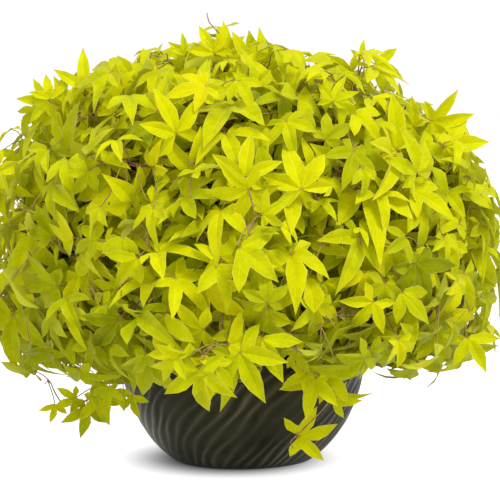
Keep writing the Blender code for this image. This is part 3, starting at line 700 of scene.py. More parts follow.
# %% Woody stem
CLEARANCE = 0.0003
STEM_HEIGHT = 0.060
STEM_FLARE_RADIUS = 0.027
STEM_FLARE_HEIGHT = 0.007
STEM_RADIUS = 0.017
STEM_TOP_RADIUS = 0.011
BARK_STEPS = 72
BARK_ROWS = 40
BARK_SUNK = 0.0006  # the bark's middle lies under the solid's side
FURROW_DEPTH = 0.0007
FURROWS, FURROW_CLIMB, FURROW_SWAYS = 11.0, 60.0, 4.0  # waves round, radians a metre up, waves of the sway
FURROW_BREAKS, BREAK_CLIMB = 3.0, -90.0
BUTTRESSES, BUTTRESS_DEPTH, BUTTRESS_HEIGHT = 5.0, 0.0005, 0.02
TOP_DOME = 0.0002
stem_foot = soil_height(0.0) + CLEARANCE


def stem_radius(above):
    """Radius of the stem so far above its foot."""
    flare = (STEM_FLARE_RADIUS - STEM_RADIUS) * np.exp(-above / STEM_FLARE_HEIGHT)
    return STEM_RADIUS + flare - (STEM_RADIUS - STEM_TOP_RADIUS) * above / STEM_HEIGHT


def make_stem(finish):
    """Rings up the stem, closed below and above by small ones."""
    around = steps_round(BARK_STEPS)
    rows = []
    for above in np.linspace(0.0, STEM_HEIGHT, BARK_ROWS):
        furrow = np.sin(FURROWS * around + FURROW_CLIMB * above + np.sin(FURROW_SWAYS * around))
        furrow = furrow * np.sin(FURROW_BREAKS * around + BREAK_CLIMB * above)
        buttress = np.sin(BUTTRESSES * around) * np.exp(-above / BUTTRESS_HEIGHT)
        radius = stem_radius(above) - BARK_SUNK + FURROW_DEPTH * furrow + BUTTRESS_DEPTH * buttress
        rows.append(ring(radius, around, stem_foot + above))
    rows.insert(0, rows[0] * (0.1, 0.1, 1.0))
    rows.append(rows[-1] * (0.5, 0.5, 1.0) + UP * TOP_DOME)
    rows.append(rows[-1] * (0.1, 0.1, 1.0))
    return turned_piece("bark_stem", rows, finish)


bark = mottled(
    "corky_bark", (0.20, 0.13, 0.08), (0.09, 0.055, 0.035),
    scale=90.0, contrast=2.5, roughness=0.85, bump=0.5, fine=350.0,
)
stem = make_stem(bark.material)
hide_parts("woody_stem")
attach(stem, "root")
print("stem:", len(stem.data.polygons), "faces")

# %% [markdown]
# ## Vines and twigs
# The vines rise from the woody stem and fan out under the leaves. Each ends in its own mass: seven hang
# round the bowl as a skirt, five stand on the shoulder and one is the top. A mass has a stem, the stem
# bears twigs, and here the twigs branch once more. Every place is told in the mass's own space, so the
# growth repeats the solids and carries on from them.

# %% The masses' spaces
INNER_SHARE = 0.45
SPACE_SAG = 55.0
SPACE_SWIRL = 45.0
SPACE_WAVES = (3.5, 5)
RINGS = (  # name, masses, degrees round of the first, degrees up of its floor and its top
    ("skirt", 7, 62.0, -60.0, 36.0),
    ("shoulder", 5, 20.0, 36.0, 76.0),
    ("top", 1, 0.0, 76.0, 130.0),
)
TRAIL_ROUND = -168.0  # degrees


def turn_between(a, b):
    """Degrees from b to a by the shorter way."""
    return (a - b + 180.0) % 360.0 - 180.0


class Space(namedtuple("Space", "name ring middle half_turn low high")):
    """The part of the mound that one mass keeps to."""

    def trails(self):
        """Whether the trailing vine hangs from this space."""
        outer_middle = self.middle - SPACE_SWIRL * (1.0 - INNER_SHARE)
        return self.low < 0 and abs(turn_between(TRAIL_ROUND, outer_middle)) < self.half_turn

    def shift(self, around, share):
        """Degrees that the space swirls and sags on its way out, so that its sides overlap like shingles."""
        out = np.minimum(share, 1.0) - INNER_SHARE
        height, count = SPACE_WAVES
        return SPACE_SWIRL * out, SPACE_SAG * out + height * np.sin(np.radians(count * around))

    def point(self, side, rise, share):
        """A point this far to the side of the space, up from its floor, and out to the outline."""
        turned, _sunk = self.shift(0.0, share)
        around = self.middle + side * self.half_turn - turned
        _turned, sunk = self.shift(around, share)
        up = np.minimum(90.0, self.low + (self.high - self.low) * rise - sunk)
        return outline_point(np.asarray(around), np.asarray(up), np.asarray(share))


def make_spaces():
    """The spaces of all masses, ring by ring from below."""
    for ring_name, count, first, low, high in RINGS:
        for number in range(count):
            name = ring_name if count == 1 else f"{ring_name}_{number + 1}"
            yield Space(name, ring_name, first + 360.0 * number / count, 180.0 / count, low, high)


SPACES = list(make_spaces())
print(len(SPACES), "masses share the mound")

# %% Vines and stems
ENTRY_DEGREES = {"skirt": 10.0, "shoulder": 54.0, "top": 88.0}
ROOT_HEIGHTS = {"skirt": 0.016, "shoulder": 0.037}
ROOT_SUNK = 0.001
SLOPE_STEP = 0.002
VINE_LIFT, VINE_ARRIVE = 0.24, 0.40
VINE_POINTS = 14
STEM_ROUTES = {
    "skirt": ((0.74, 0.56), (0.76, 0.68), (0.68, 0.78), (0.53, 0.84)),
    "shoulder": ((0.45, 0.56), (0.52, 0.68)),
    "top": ((1.0, 0.56), (1.0, 0.68)),
}
STRAIGHT = 0.006
TRAIL_BOTTOM = 0.048
TRAIL_SPREAD = 0.105
TRAIL_LINE = 0.36
TRAIL_BENDS = (0.112, 0.085)
TRAIL_END = 0.022


def resample(line, count):
    """The same line with so many evenly spread points, its corners rounded a little."""
    line = np.asarray(line)
    steps = np.concatenate([[0.0], np.cumsum(np.linalg.norm(np.diff(line, axis=0), axis=1))])
    fine = np.linspace(0.0, steps[-1], count * 4)
    dense = np.stack([np.interp(fine, steps, line[:, axis]) for axis in range(3)], axis=1)
    for _pass in range(3):
        dense[1:-1] = (dense[:-2] + dense[1:-1] * 2 + dense[2:]) / 4
    return dense[np.linspace(0, len(dense) - 1, count).round().astype(int)]


def vine_line(space):
    """From the woody stem to the place where the vine goes into its mass."""
    entry_up = ENTRY_DEGREES[space.ring]
    entry = direction(space.middle, entry_up)
    end = outline_point(np.asarray(space.middle), np.asarray(entry_up), np.asarray(INNER_SHARE))
    if space.ring == "top":
        start, leave = np.array((0.0, 0.0, stem_foot + STEM_HEIGHT - ROOT_SUNK)), UP
    else:
        above = ROOT_HEIGHTS[space.ring]
        slope = (stem_radius(above - SLOPE_STEP) - stem_radius(above + SLOPE_STEP)) / (2 * SLOPE_STEP)
        leave = unit(direction(space.middle, 0.0) + UP * slope)
        start = direction(space.middle, 0.0) * (stem_radius(above) - ROOT_SUNK) + UP * (stem_foot + above)
    span = np.linalg.norm(end - start)
    return bezier(start, leave * span * VINE_LIFT, end, entry * span * VINE_ARRIVE, VINE_POINTS), end, entry


def mass_stem(space, end, entry):
    """Corner points of a mass's stem, from the end of its vine out through its space."""
    line = [end, end + entry * STRAIGHT]
    line += [space.point(0.0, rise, share) for rise, share in STEM_ROUTES[space.ring]]
    if space.trails():
        down = direction(TRAIL_ROUND, 0.0) * (BOWL_RIM_RADIUS + TRAIL_SPREAD * TRAIL_LINE)
        line += [down + UP * height for height in (*TRAIL_BENDS, TRAIL_BOTTOM + TRAIL_END)]
    return line


# %% Twigs
PAIR = (-0.6, 0.6)  # how far twigs that leave in pairs go to either side
TWIGS = {  # for each twig the corner of the stem that it leaves, and how far its tip is to the side and up
    "skirt": tuple((row, side, rise) for row, rise in ((2, 0.90), (3, 0.74), (4, 0.56)) for side in PAIR),
    "shoulder": tuple((row, side, rise) for row, rise in ((2, 0.22), (3, 0.78)) for side in PAIR),
    "top": tuple((3, side / 6.0, 0.10) for side in (-5, -3, -1, 1, 3, 5)),
}
TWIG_REACH = 0.80
TWIG_SLIDE = (0.0, 0.3)
TWIG_ASIDE, TWIG_RISE = (-0.1, 0.1), (-0.05, 0.05)
TWIG_LIFT, TWIG_ARRIVE = 0.6, 0.25
SIDE_TWIGS = 5
SIDE_ASIDE, SIDE_RISE, SIDE_REACH = (-0.45, 0.45), (-0.22, 0.16), (0.82, 0.90)
SIDE_LOWEST = 0.30
SIDE_LIFT, SIDE_ARRIVE, SIDE_DROOP = 0.18, 0.2, 0.01
HEM_HEIGHT = 0.165
LINE_POINTS = 10
STEM_POINTS = 28
STEM_BARE, TWIG_BARE, SIDE_BARE = 6, 3, 2  # first points of each limb, where no leaf stands


def grow_twig(space, route, row, side, rise):
    """A twig that leaves the stem at one of its corners."""
    root = route[row] + (route[row - 1] - route[row]) * chance.uniform(*TWIG_SLIDE)
    tip = space.point(side + chance.uniform(*TWIG_ASIDE), rise + chance.uniform(*TWIG_RISE), TWIG_REACH)
    tip[2] = max(tip[2], HEM_HEIGHT)
    lift = (route[row] - route[row - 1]) * TWIG_LIFT
    return bezier(root, lift, tip, (tip - root) * TWIG_ARRIVE, LINE_POINTS)


def grow_side_twig(space, twig, branch, side, rise):
    """A finer twig on this one, or None where it would hang too low."""
    root = twig[2 + branch * (LINE_POINTS - 3) // SIDE_TWIGS]
    aside = np.clip(side + chance.uniform(*SIDE_ASIDE), -1.0, 1.0)
    up = np.clip(rise + chance.uniform(*SIDE_RISE), SIDE_LOWEST, 1.0)
    far = space.point(aside, up, chance.uniform(*SIDE_REACH))
    if far[2] < HEM_HEIGHT:
        return None
    arrive = (far - root) * SIDE_ARRIVE + UP * SIDE_DROOP
    return bezier(root, (twig[-1] - twig[0]) * SIDE_LIFT, far, arrive, LINE_POINTS)


def bears(line, bare, number):
    """Leaves of this mass may stand on the limb beyond its first, bare points."""
    node_points.append(line[bare:])
    node_mass.append(np.full(len(line) - bare, number))


vines, stems, twigs, side_twigs = [], [], [], []
node_points, node_mass = [], []
for number, space in enumerate(SPACES):
    vine, end, entry = vine_line(space)
    vines.append(vine)
    route = mass_stem(space, end, entry)
    stems.append(resample(route, STEM_POINTS))
    bears(stems[-1], STEM_BARE, number)
    for row, side, rise in TWIGS[space.ring]:
        twigs.append(grow_twig(space, route, row, side, rise))
        bears(twigs[-1], TWIG_BARE, number)
        for branch in range(SIDE_TWIGS):
            fine = grow_side_twig(space, twigs[-1], branch, side, rise)
            if fine is not None:
                side_twigs.append(fine)
                bears(fine, SIDE_BARE, number)
nodes_at, nodes_of = np.concatenate(node_points), np.concatenate(node_mass)
print(len(vines), "vines,", len(twigs), "twigs,", len(side_twigs), "side twigs")
print(len(nodes_at), "places for leaves")

# %% [markdown]
# ## Leaves with pointed lobes
# A leaf of this kind has a long middle lobe, two side lobes and two small ones beside the stalk, all
# pointed. We cut the blade into half-lobes: each runs from a midrib to an edge, so the blade can fold
# along every midrib, and each lobe can droop or curl by itself. A flat outline would look like cut paper.
# Thirty-two different blades are drawn once and copied to all places: calm ones, common ones and limp
# ones.

# %% Half of a lobe
ROWS = np.array((0.0, 0.5, 1.0))  # of the way from the stalk to the cleft
LOBE_ALONG = np.array((0.26, 0.54, 0.76, 0.93, 1.0))  # of the way from the cleft to the tip
LOBE_WIDE = np.array((1.0, 0.80, 0.40, 0.11, 0.0))
Lobe = namedtuple("Lobe", "angle length width cleft")  # degrees, then shares of the blade's length
Blade = namedtuple("Blade", "points place faces tips coarse")


def heading(angle):
    """Unit vector in the blade's plane at this angle from its middle lobe."""
    return np.array((math.sin(angle), math.cos(angle)))


def half_lobe(angle, lobe, cleft_angle, cleft_far, side, start):
    """Grid (rows, 3, 2) of one half of a lobe: midrib, half way and edge. Its free part begins at start."""
    axis = heading(angle)
    across = np.array((axis[1], -axis[0])) * side
    along = np.concatenate([start * ROWS, start + (1.0 - start) * LOBE_ALONG])
    free = axis * (along[len(ROWS):] * lobe.length)[:, None] + across * (LOBE_WIDE * lobe.width)[:, None]
    edge = np.concatenate([(heading(cleft_angle) * cleft_far)[None] * ROWS[:, None], free])
    rib = axis * (along * lobe.length)[:, None]
    return np.stack([rib, rib * 0.5 + edge * 0.5, edge], axis=1)


# %% Bending the half-lobes
ARCH, GUTTER = (-0.10, 0.15, 0.55), (-0.05, 0.30)  # of the whole blade: least, most likely and most bend
FOLD, TWIST, CURL = (0.25, 0.95), (-0.6, 0.6), (-0.40, 0.60, 1.80)  # of each lobe
LEAST_CURL = 0.001  # keeps the division below in bounds
LEAST_START, MOST_START = 0.12, 0.80
SEAM_ROWS, SEAM_PLACE = 2, 0.6  # between two lobes the blade goes on, so no edge is drawn there
STALK_GAP = math.radians(158.0)
STALK_CLEFT = 0.1
PLEATS = 0.006 * np.array((0, 1, -1, 1, -1, 1, -1, 0))[:, None] * np.array((0.0, 1.0, 0.0))


def bent_halves(pen, lobes, ease):
    """The half-lobes of one blade, each as (flat grid, bent grid with its points' places, side)."""
    angles = [math.radians(lobe.angle) for lobe in lobes]
    arch, gutter = ease * pen.triangular(*ARCH), ease * pen.uniform(*GUTTER)
    halves = []
    for number, (angle, lobe) in enumerate(zip(angles, lobes)):
        before = angles[number - 1] if number else -STALK_GAP
        after = angles[number + 1] if number + 1 < len(lobes) else STALK_GAP
        fold, twist = pen.uniform(*FOLD), ease * pen.uniform(*TWIST)
        curl = ease * pen.triangular(*CURL) + LEAST_CURL
        clefts = (lobes[number - 1].cleft if number else STALK_CLEFT, lobe.cleft)
        beside = zip(clefts, (before, after))
        starts = [far * math.cos((angle - other) / 2) / lobe.length for far, other in beside]
        start = min(max(LEAST_START, *starts), MOST_START)
        for side, other, far in ((-1.0, before, clefts[0]), (1.0, after, clefts[1])):
            flat = half_lobe(angle, lobe, (angle + other) / 2, far, side, start)
            away, axis = np.linalg.norm(flat, axis=2), heading(angle)
            lateral = np.abs(flat[..., 0] * axis[1] - flat[..., 1] * axis[0])
            shrink = np.sin(curl * away) / (curl * np.maximum(away, 1e-6))
            height = (np.cos(curl * away) - 1.0) / curl + fold * lateral * (1.0 - 0.5 * away)
            height = height + twist * side * lateral * away
            height = height + PLEATS - arch * flat[..., 1] ** 2 + gutter * np.abs(flat[..., 0])
            across = np.tile((0.0, 0.5, 1.0), (len(flat), 1))
            across[:SEAM_ROWS, 2] = SEAM_PLACE
            bent = np.concatenate([flat * shrink[..., None], height[..., None], across[..., None]], axis=2)
            halves.append((flat, bent, side))
    return halves


# %% Welding a blade
def weld(halves):
    """One blade: points that lie together in the flat outline become one. A coarse copy is for tests."""
    made, lookup, faces, tips, coarse = [], {}, [], [], []
    for flat, bent, side in halves:
        index = np.zeros(bent.shape[:2], int)
        for row, column in np.ndindex(index.shape):
            key = tuple(np.round(flat[row, column], 3) + 0.0)
            if key not in lookup:
                lookup[key] = len(made)
                made.append(np.zeros(5))
            made[lookup[key]] += (*bent[row, column], 1.0)
            index[row, column] = lookup[key]
        for row, column in np.ndindex(index.shape[0] - 1, index.shape[1] - 1):
            (a, b), (d, c) = index[row : row + 2, column : column + 2]
            for triangle in ((a, b, c), (a, c, d)):
                if len(set(triangle)) == 3:
                    faces.append(triangle if side > 0 else triangle[::-1])
                    tips.append(row == index.shape[0] - 2)
        stalk, cleft, wide, tip, rib = index[0, 0], index[2, 2], index[3, 2], index[-1, 0], index[3, 0]
        coarse += [(stalk, cleft, rib), (cleft, wide, rib), (wide, tip, rib)]
    made = np.array(made)
    made /= made[:, 4:]
    coarse = [tuple(int(v) for v in face) for face in coarse]
    place = np.stack([made[:, 3], np.hypot(made[:, 0], made[:, 1]), np.zeros(len(made))], axis=1)
    return Blade(made[:, :3], place, np.array(faces), np.array(tips), coarse)


# %% Drawing the blades
PEN_SEED = 31
CALM, COMMON, ALL_BLADES = 8, 22, 32  # calm blades, then common ones up to the second number, then limp ones
CALM_EASE, COMMON_EASE, LIMP_EASE = 0.45, 1.0, 1.35  # how much each kind bends
MIDDLE_WIDTH, SIDE_WIDTH, BASE_WIDTH = 0.172, 0.145, 0.112
SLIMNESS = (0.85, 1.15)
SIDE_TURNS, BASE_TURNS = (48.0, 60.0), (98.0, 122.0)  # degrees from the middle lobe
SIDE_LONGS, BASE_LONGS = (0.68, 0.88), (0.36, 0.56)  # shares of the blade's length
CLEFTS, LOW_CLEFTS = (0.24, 0.39), (0.20, 0.31)
SIDE_TURN_UNLIKE, SIDE_LONG_UNLIKE = (0.94, 1.06), (0.9, 1.08)  # left lobes against the right ones
BASE_TURN_UNLIKE, BASE_LONG_UNLIKE = (0.95, 1.04), (0.85, 1.1)
THREE_LOBED = 0.3  # share of blades without the small lobes beside the stalk


def lobe_plan(pen):
    """The lobes of one blade from left to right, a little different each time."""
    slim = pen.uniform(*SLIMNESS)
    side_turn, side_long = pen.uniform(*SIDE_TURNS), pen.uniform(*SIDE_LONGS)
    base_turn, base_long = pen.uniform(*BASE_TURNS), pen.uniform(*BASE_LONGS)
    cleft, low_cleft = pen.uniform(*CLEFTS), pen.uniform(*LOW_CLEFTS)
    middle = Lobe(0.0, 1.0, MIDDLE_WIDTH * slim, cleft)
    right = Lobe(side_turn, side_long, SIDE_WIDTH * slim, low_cleft)
    right_base = Lobe(base_turn, base_long, BASE_WIDTH * slim, STALK_CLEFT)
    side_turn = -side_turn * pen.uniform(*SIDE_TURN_UNLIKE)
    side_long = side_long * pen.uniform(*SIDE_LONG_UNLIKE)
    left = Lobe(side_turn, side_long, SIDE_WIDTH * slim, cleft)
    base_turn = -base_turn * pen.uniform(*BASE_TURN_UNLIKE)
    base_long = base_long * pen.uniform(*BASE_LONG_UNLIKE)
    left_base = Lobe(base_turn, base_long, BASE_WIDTH * slim, low_cleft)
    if pen.uniform() < THREE_LOBED:
        return [left, middle, right._replace(cleft=STALK_CLEFT)]
    return [left_base, left, middle, right, right_base]


pen = np.random.default_rng(PEN_SEED)
eases = [CALM_EASE] * CALM + [COMMON_EASE] * (COMMON - CALM) + [LIMP_EASE] * (ALL_BLADES - COMMON)
BLADES = [weld(bent_halves(pen, lobe_plan(pen), ease)) for ease in eases]
print(len(BLADES), "blades of up to", max(len(blade.faces) for blade in BLADES), "triangles")

# %% [markdown]
# ## Where the leaves stand
# Leaves spread themselves to catch the light, so on the outline they are evenly spaced and overlap like
# roof tiles. We scatter places that keep a distance from each other, in layers from the outline inwards,
# and give each leaf the slope of the mound: its tip points down and outward, its face up and outward,
# with a good deal of chance. The outline itself gets hollows between the shoots, because a smooth dome
# looks clipped.

# %% Hollows
BROAD_DIPS = (  # degrees round and up, half width in degrees, share taken off
    (78.0, 68.0, 20.0, 0.10),
    (-80.0, 60.0, 15.0, 0.08),
    (-96.0, 52.0, 13.0, 0.05),
    (86.0, 42.0, 26.0, 0.08),
    (94.0, 50.0, 12.0, 0.04),
    (150.0, 70.0, 20.0, 0.06),
    (-160.0, 40.0, 22.0, 0.06),
)
HOLLOWS = 60
HOLLOW_WIDTHS = (7.0, 14.0)  # half widths in degrees
HOLLOW_DEPTHS = (0.03, 0.15)  # shares of the reach
CALM_ABOVE = 0.6  # how much shallower the hollows are on top
hollow_ways = unit(chance.normal(size=(HOLLOWS, 3)))
hollow_widths = chance.uniform(*HOLLOW_WIDTHS, HOLLOWS)
hollow_calm = 1.0 - CALM_ABOVE * np.clip(hollow_ways[:, 2], 0.0, 1.0)
hollow_depths = chance.uniform(*HOLLOW_DEPTHS, HOLLOWS) * hollow_calm


def outline_share(ways):
    """How much of the reach the leaves take in these directions."""
    apart = np.degrees(np.arccos(np.clip(ways @ hollow_ways.T, -1.0, 1.0)))
    dip = (hollow_depths * (1.0 - np.minimum(1.0, apart / hollow_widths) ** 2)).max(axis=-1)
    for dip_round, dip_up, width, depth in BROAD_DIPS:
        apart = np.degrees(np.arccos(np.clip(ways @ direction(dip_round, dip_up), -1.0, 1.0)))
        dip = dip + depth * (1.0 - np.minimum(1.0, apart / width) ** 2)
    return 1.0 - dip


print(HOLLOWS, "hollows and", len(BROAD_DIPS), "broad dips")

# %% Hem
HEM_LOWEST = 0.100
HEM_ARCHES = (  # radians round, half width, metres that the hem rises there
    (0.04, 0.46, 0.044),
    (0.80, 0.36, 0.056),
    (-1.10, 0.28, 0.014),
    (0.24, 0.13, 0.056),
)
HEM_WAVES = ((0.012, 3.0, 3.4), (0.010, 7.0, 2.0))  # metres, waves round, phase


def hem(points):
    """The height that leaves hang down to, which rises over the front of the bowl and is uneven all round."""
    around = np.arctan2(points[..., 0], -points[..., 1])
    height = HEM_LOWEST
    for middle, width, rise in HEM_ARCHES:
        height = height + rise * np.exp(-((around - middle) / width) ** 2)
    for size, count, phase in HEM_WAVES:
        height = height + size * np.sin(count * around + phase)
    return height


print("the hem over the bowl's front is at", round(float(hem(np.array((0.0, -1.0, 0.0)))), 3), "m")

# %% Scattering places
ANY = 99  # means any number of crossings: deep in the dark, and for leaves placed one by one
LAYERS = (  # share of the reach, metres between leaves, scale, crossings allowed
    (1.00, 0.0225, 1.00, 2),
    (0.93, 0.0235, 1.00, 5),
    (0.86, 0.0265, 1.00, 12),
    (0.77, 0.0320, 1.05, ANY),
    (0.66, 0.0420, 1.15, ANY),
)
LOWEST = -42.0  # degrees
TRIALS = 30000


def neighbours(grid, cell):
    """What the grid holds in this cell and in the 26 round it."""
    steps = (-1, 0, 1)
    return [held for dx in steps for dy in steps for dz in steps
            for held in grid.get((cell[0] + dx, cell[1] + dy, cell[2] + dz), ())]


def scatter(share, apart):
    """Directions whose places at this share of the reach keep the distance apart."""
    way = unit(chance.normal(size=(TRIALS, 3)))
    keep = np.degrees(np.arcsin(way[:, 2])) > LOWEST
    far = reach(way)
    keep &= chance.uniform(0.0, 1.0, TRIALS) < (far / far.max()) ** 2
    way, far = way[keep], far[keep]
    places = HEART + way * (far * share)[:, None]
    taken, grid = [], {}
    for number, cell in enumerate(map(tuple, np.floor(places / apart).astype(int))):
        near = neighbours(grid, cell)
        if near and (np.linalg.norm(places[near] - places[number], axis=1) < apart).any():
            continue
        grid.setdefault(cell, []).append(number)
        taken.append(number)
    return way[taken]


# %% Leaves as arrays
class Leaves:
    """All leaves as arrays: where the blade meets its stalk, its axes, size, blade, layer and tone."""

    FIELDS = ("base", "axes", "size", "blade", "layer", "tone")

    def __init__(self):
        for field in self.FIELDS:
            setattr(self, field, [])

    def add(self, base, tip_way, face_way, size, layer, tone=None, limp=0.0):
        """Adds leaves. Those with a tone are given one by one and calm; limp is the chance of a limp blade.
        """
        across = unit(np.cross(tip_way, face_way))
        self.base.append(base)
        self.axes.append(np.stack([across, tip_way, np.cross(across, tip_way)], axis=1))
        self.size.append(size)
        common = chance.integers(0, COMMON if tone is None else CALM, len(base))
        hanging = chance.integers(COMMON, len(BLADES), len(base))
        self.blade.append(np.where(chance.uniform(0.0, 1.0, len(base)) < limp, hanging, common))
        self.layer.append(np.full(len(base), layer))
        self.tone.append(np.full(len(base), -1) if tone is None else tone)

    def pack(self):
        """Turns each field's list into one array."""
        for field in self.FIELDS:
            setattr(self, field, np.concatenate(getattr(self, field)))

    def keep(self, which):
        """Drops all leaves but these."""
        for field in self.FIELDS:
            setattr(self, field, getattr(self, field)[which])


# %% Leaves in layers
LEAF_SIZES = (0.034, 0.053, 0.086)  # metres: least, most likely and most
BLADE_MIDDLE = 0.42  # share of the blade's length from its stalk
OUT_TILT = np.array((1.0, 1.0, 1.25))
LEVEL = np.array((1.0, 1.0, 0.0))
LOW_START, LOW_SLOPE = 0.45, 1.3  # low leaves hang
FACE_OUT, FACE_UP, FACE_CHANCE = 0.8, 0.5, 0.40
LEAD_OUT, LEAD_DOWN, LEAD_HANG, LEAD_CHANCE = 0.6, 0.30, 1.9, 0.60
SPROUTS, SPROUTS_ABOVE = 0.40, 1.6  # share of leaves on top that stand up
SPROUT_LEAD_CHANCE, SPROUT_FACE_CHANCE = 0.45, 0.5
LIMP_LEAST, LIMP_LOW = 0.15, 0.55


def grow_layer(leaves, layer, share, apart, scale):
    """Adds one layer of leaves, which lean out like roof tiles or, on top, stand up."""
    way = scatter(share, apart)
    count = len(way)
    place = HEART + way * (reach(way) * share * outline_share(way))[:, None]
    out, level = unit(way * OUT_TILT), unit(way * LEVEL)
    low = np.clip(LOW_START - LOW_SLOPE * way[:, 2:], 0.0, 1.0)
    face_way = unit(out * FACE_OUT + UP * FACE_UP * (1.0 - low) + chance.normal(0.0, FACE_CHANCE, (count, 3)))
    lead = level * LEAD_OUT - UP * (LEAD_DOWN + LEAD_HANG * low) + chance.normal(0.0, LEAD_CHANCE, (count, 3))
    sprouts = chance.uniform(0.0, 1.0, (count, 1)) < SPROUTS * np.clip(way[:, 2:] * SPROUTS_ABOVE, 0.0, 1.0)
    lead = np.where(sprouts, out + chance.normal(0.0, SPROUT_LEAD_CHANCE, (count, 3)), lead)
    face_way = np.where(sprouts, unit(level + chance.normal(0.0, SPROUT_FACE_CHANCE, (count, 3))), face_way)
    tip_way = unit(lead - face_way * (lead * face_way).sum(axis=1, keepdims=True))
    size = chance.triangular(*LEAF_SIZES, count) * scale
    base = place - tip_way * (size * BLADE_MIDDLE)[:, None]
    leaves.add(base, tip_way, face_way, size, layer, limp=LIMP_LEAST + LIMP_LOW * low[:, 0])


leaves = Leaves()
for layer, (share, apart, scale, _crossings) in enumerate(LAYERS):
    grow_layer(leaves, layer, share, apart, scale)
print(sum(map(len, leaves.base)), "leaves scattered")

# %% [markdown]
# ## Sprigs that catch the eye
# A few shoots stand out from the mass and make the plant itself: a bright spray over the bowl's front, a
# vine that hangs down at the right, a thin one that curls at the left, and shoots on the crown. They are
# listed in millimetres. Each has the line of its vine, then its leaves: how far right and how
# far up, how long, where the tip heads as seen from the front (0 is right, 90 is up) and the tone.

# %% Sprigs listed one by one
LIME, YELLOW, FRESH, DEEP = range(4)  # the first four leaf tones below
SPRIGS = {
    "front_spray": (
        ((-12, -250, 248), (-22, -285, 226), (-23, -302, 207), (-31, -312, 188), (-50, -318, 177)),
        ((-45, 208, 62, 186, YELLOW), (-61, 178, 54, 207, YELLOW), (-15, 191, 52, 4, YELLOW),
         (-49, 162, 66, 274, LIME), (-13, 178, 68, 269, FRESH), (-2, 182, 72, 294, LIME),
         (24, 197, 58, 296, LIME), (-32, 169, 44, 262, YELLOW), (-77, 181, 42, 240, LIME)),
    ),
    "right_trailer": (
        ((83, -265, 238), (60, -262, 195), (70, -250, 164), (77, -240, 142), (97, -232, 137),
         (111, -222, 116), (95, -212, 94), (71, -205, 69), (61, -207, 62), (57, -210, 52),
         (62, -212, 50)),
        ((89, 140, 55, 252, YELLOW), (107, 143, 43, 305, LIME), (110, 112, 36, 352, LIME),
         (70, 64, 54, 8, YELLOW), (125, 155, 26, 200, YELLOW), (77, 147, 32, 205, LIME),
         (64, 176, 34, 300, FRESH)),
    ),
    "left_trailer": (
        ((-162, -140, 133), (-183, -125, 106), (-198, -115, 92), (-215, -105, 85), (-230, -95, 88),
         (-239, -90, 102), (-244, -88, 115), (-249, -88, 115), (-251, -88, 110)),
        ((-196, 86, 46, 262, FRESH), (-238, 85, 27, 258, YELLOW), (-182, 99, 45, 290, LIME),
         (-209, 97, 33, 205, LIME)),
    ),
    "top_spray": (
        ((-49, -100, 490), (-38, -102, 508), (-20, -104, 520), (-20, -104, 533), (-27, -100, 552),
         (-36, -98, 561), (-42, -98, 568), (-44, -98, 579)),
        ((-20, 533, 36, 92, YELLOW), (-35, 529, 44, 119, YELLOW), (-37, 518, 37, 138, LIME),
         (-57, 513, 56, 196, YELLOW), (-71, 526, 30, 98, LIME), (25, 518, 44, 90, LIME),
         (5, 520, 40, 112, YELLOW)),
    ),
    "left_shoot": (
        ((-178, -100, 435), (-188, -100, 455), (-196, -92, 473), (-197, -92, 486)),
        ((-197, 485, 54, 93, YELLOW), (-188, 475, 50, 28, FRESH), (-213, 460, 55, 172, LIME)),
    ),
    "left_end": (
        ((-212, -100, 422), (-226, -100, 446), (-236, -96, 464)),
        ((-244, 469, 42, 176, LIME), (-240, 472, 34, 100, YELLOW), (-230, 457, 46, 212, LIME)),
    ),
    "right_shoot": (
        ((137, -100, 475), (145, -92, 500), (153, -85, 520), (163, -85, 533)),
        ((151, 523, 24, 95, YELLOW), (167, 515, 44, 338, LIME), (137, 505, 50, 200, YELLOW)),
    ),
    "right_end": (
        ((190, -120, 384), (211, -120, 409), (228, -112, 427), (236, -112, 442)),
        ((235, 445, 62, 2, YELLOW), (254, 413, 58, 8, YELLOW), (214, 437, 45, 150, LIME)),
    ),
    "middle": (
        ((5, -300, 387), (10, -320, 365), (17, -328, 342), (5, -335, 316)),
        ((9, 373, 60, 192, YELLOW), (-2, 307, 66, 322, LIME), (24, 346, 44, 25, LIME)),
    ),
    "left_edge": (
        ((-255, -100, 232), (-270, -100, 214), (-283, -100, 201)),
        ((-288, 200, 78, 264, FRESH), (-266, 205, 50, 200, LIME)),
    ),
    "left_hem": (
        ((-160, -190, 160), (-158, -184, 140), (-152, -180, 128)),
        ((-163, 122, 38, 262, FRESH), (-146, 118, 32, 268, LIME), (-134, 110, 30, 284, FRESH)),
    ),
    "right_hem": (
        ((221, -140, 224), (233, -140, 201), (242, -132, 190)),
        ((241, 186, 50, 285, FRESH), (281, 176, 50, 300, LIME)),
    ),
}
print(len(SPRIGS), "sprigs by hand")

# %% Growing the sprigs
MM = 1000.0  # millimetres in a metre
SPRIG_POINTS = 24
SPRIG_BARE = 3
SPRIG_DEPTHS = (-0.008, 0.004)
SPRIG_LEAN = 14.0  # degrees that a sprig's leaf leans towards us, at most
SPRIG_ROLL = 32.0
BY_HAND = -1  # the layer of leaves that no rule moves
RIGHT, FRONT = np.array((1.0, 0.0, 0.0)), np.array((0.0, -1.0, 0.0))


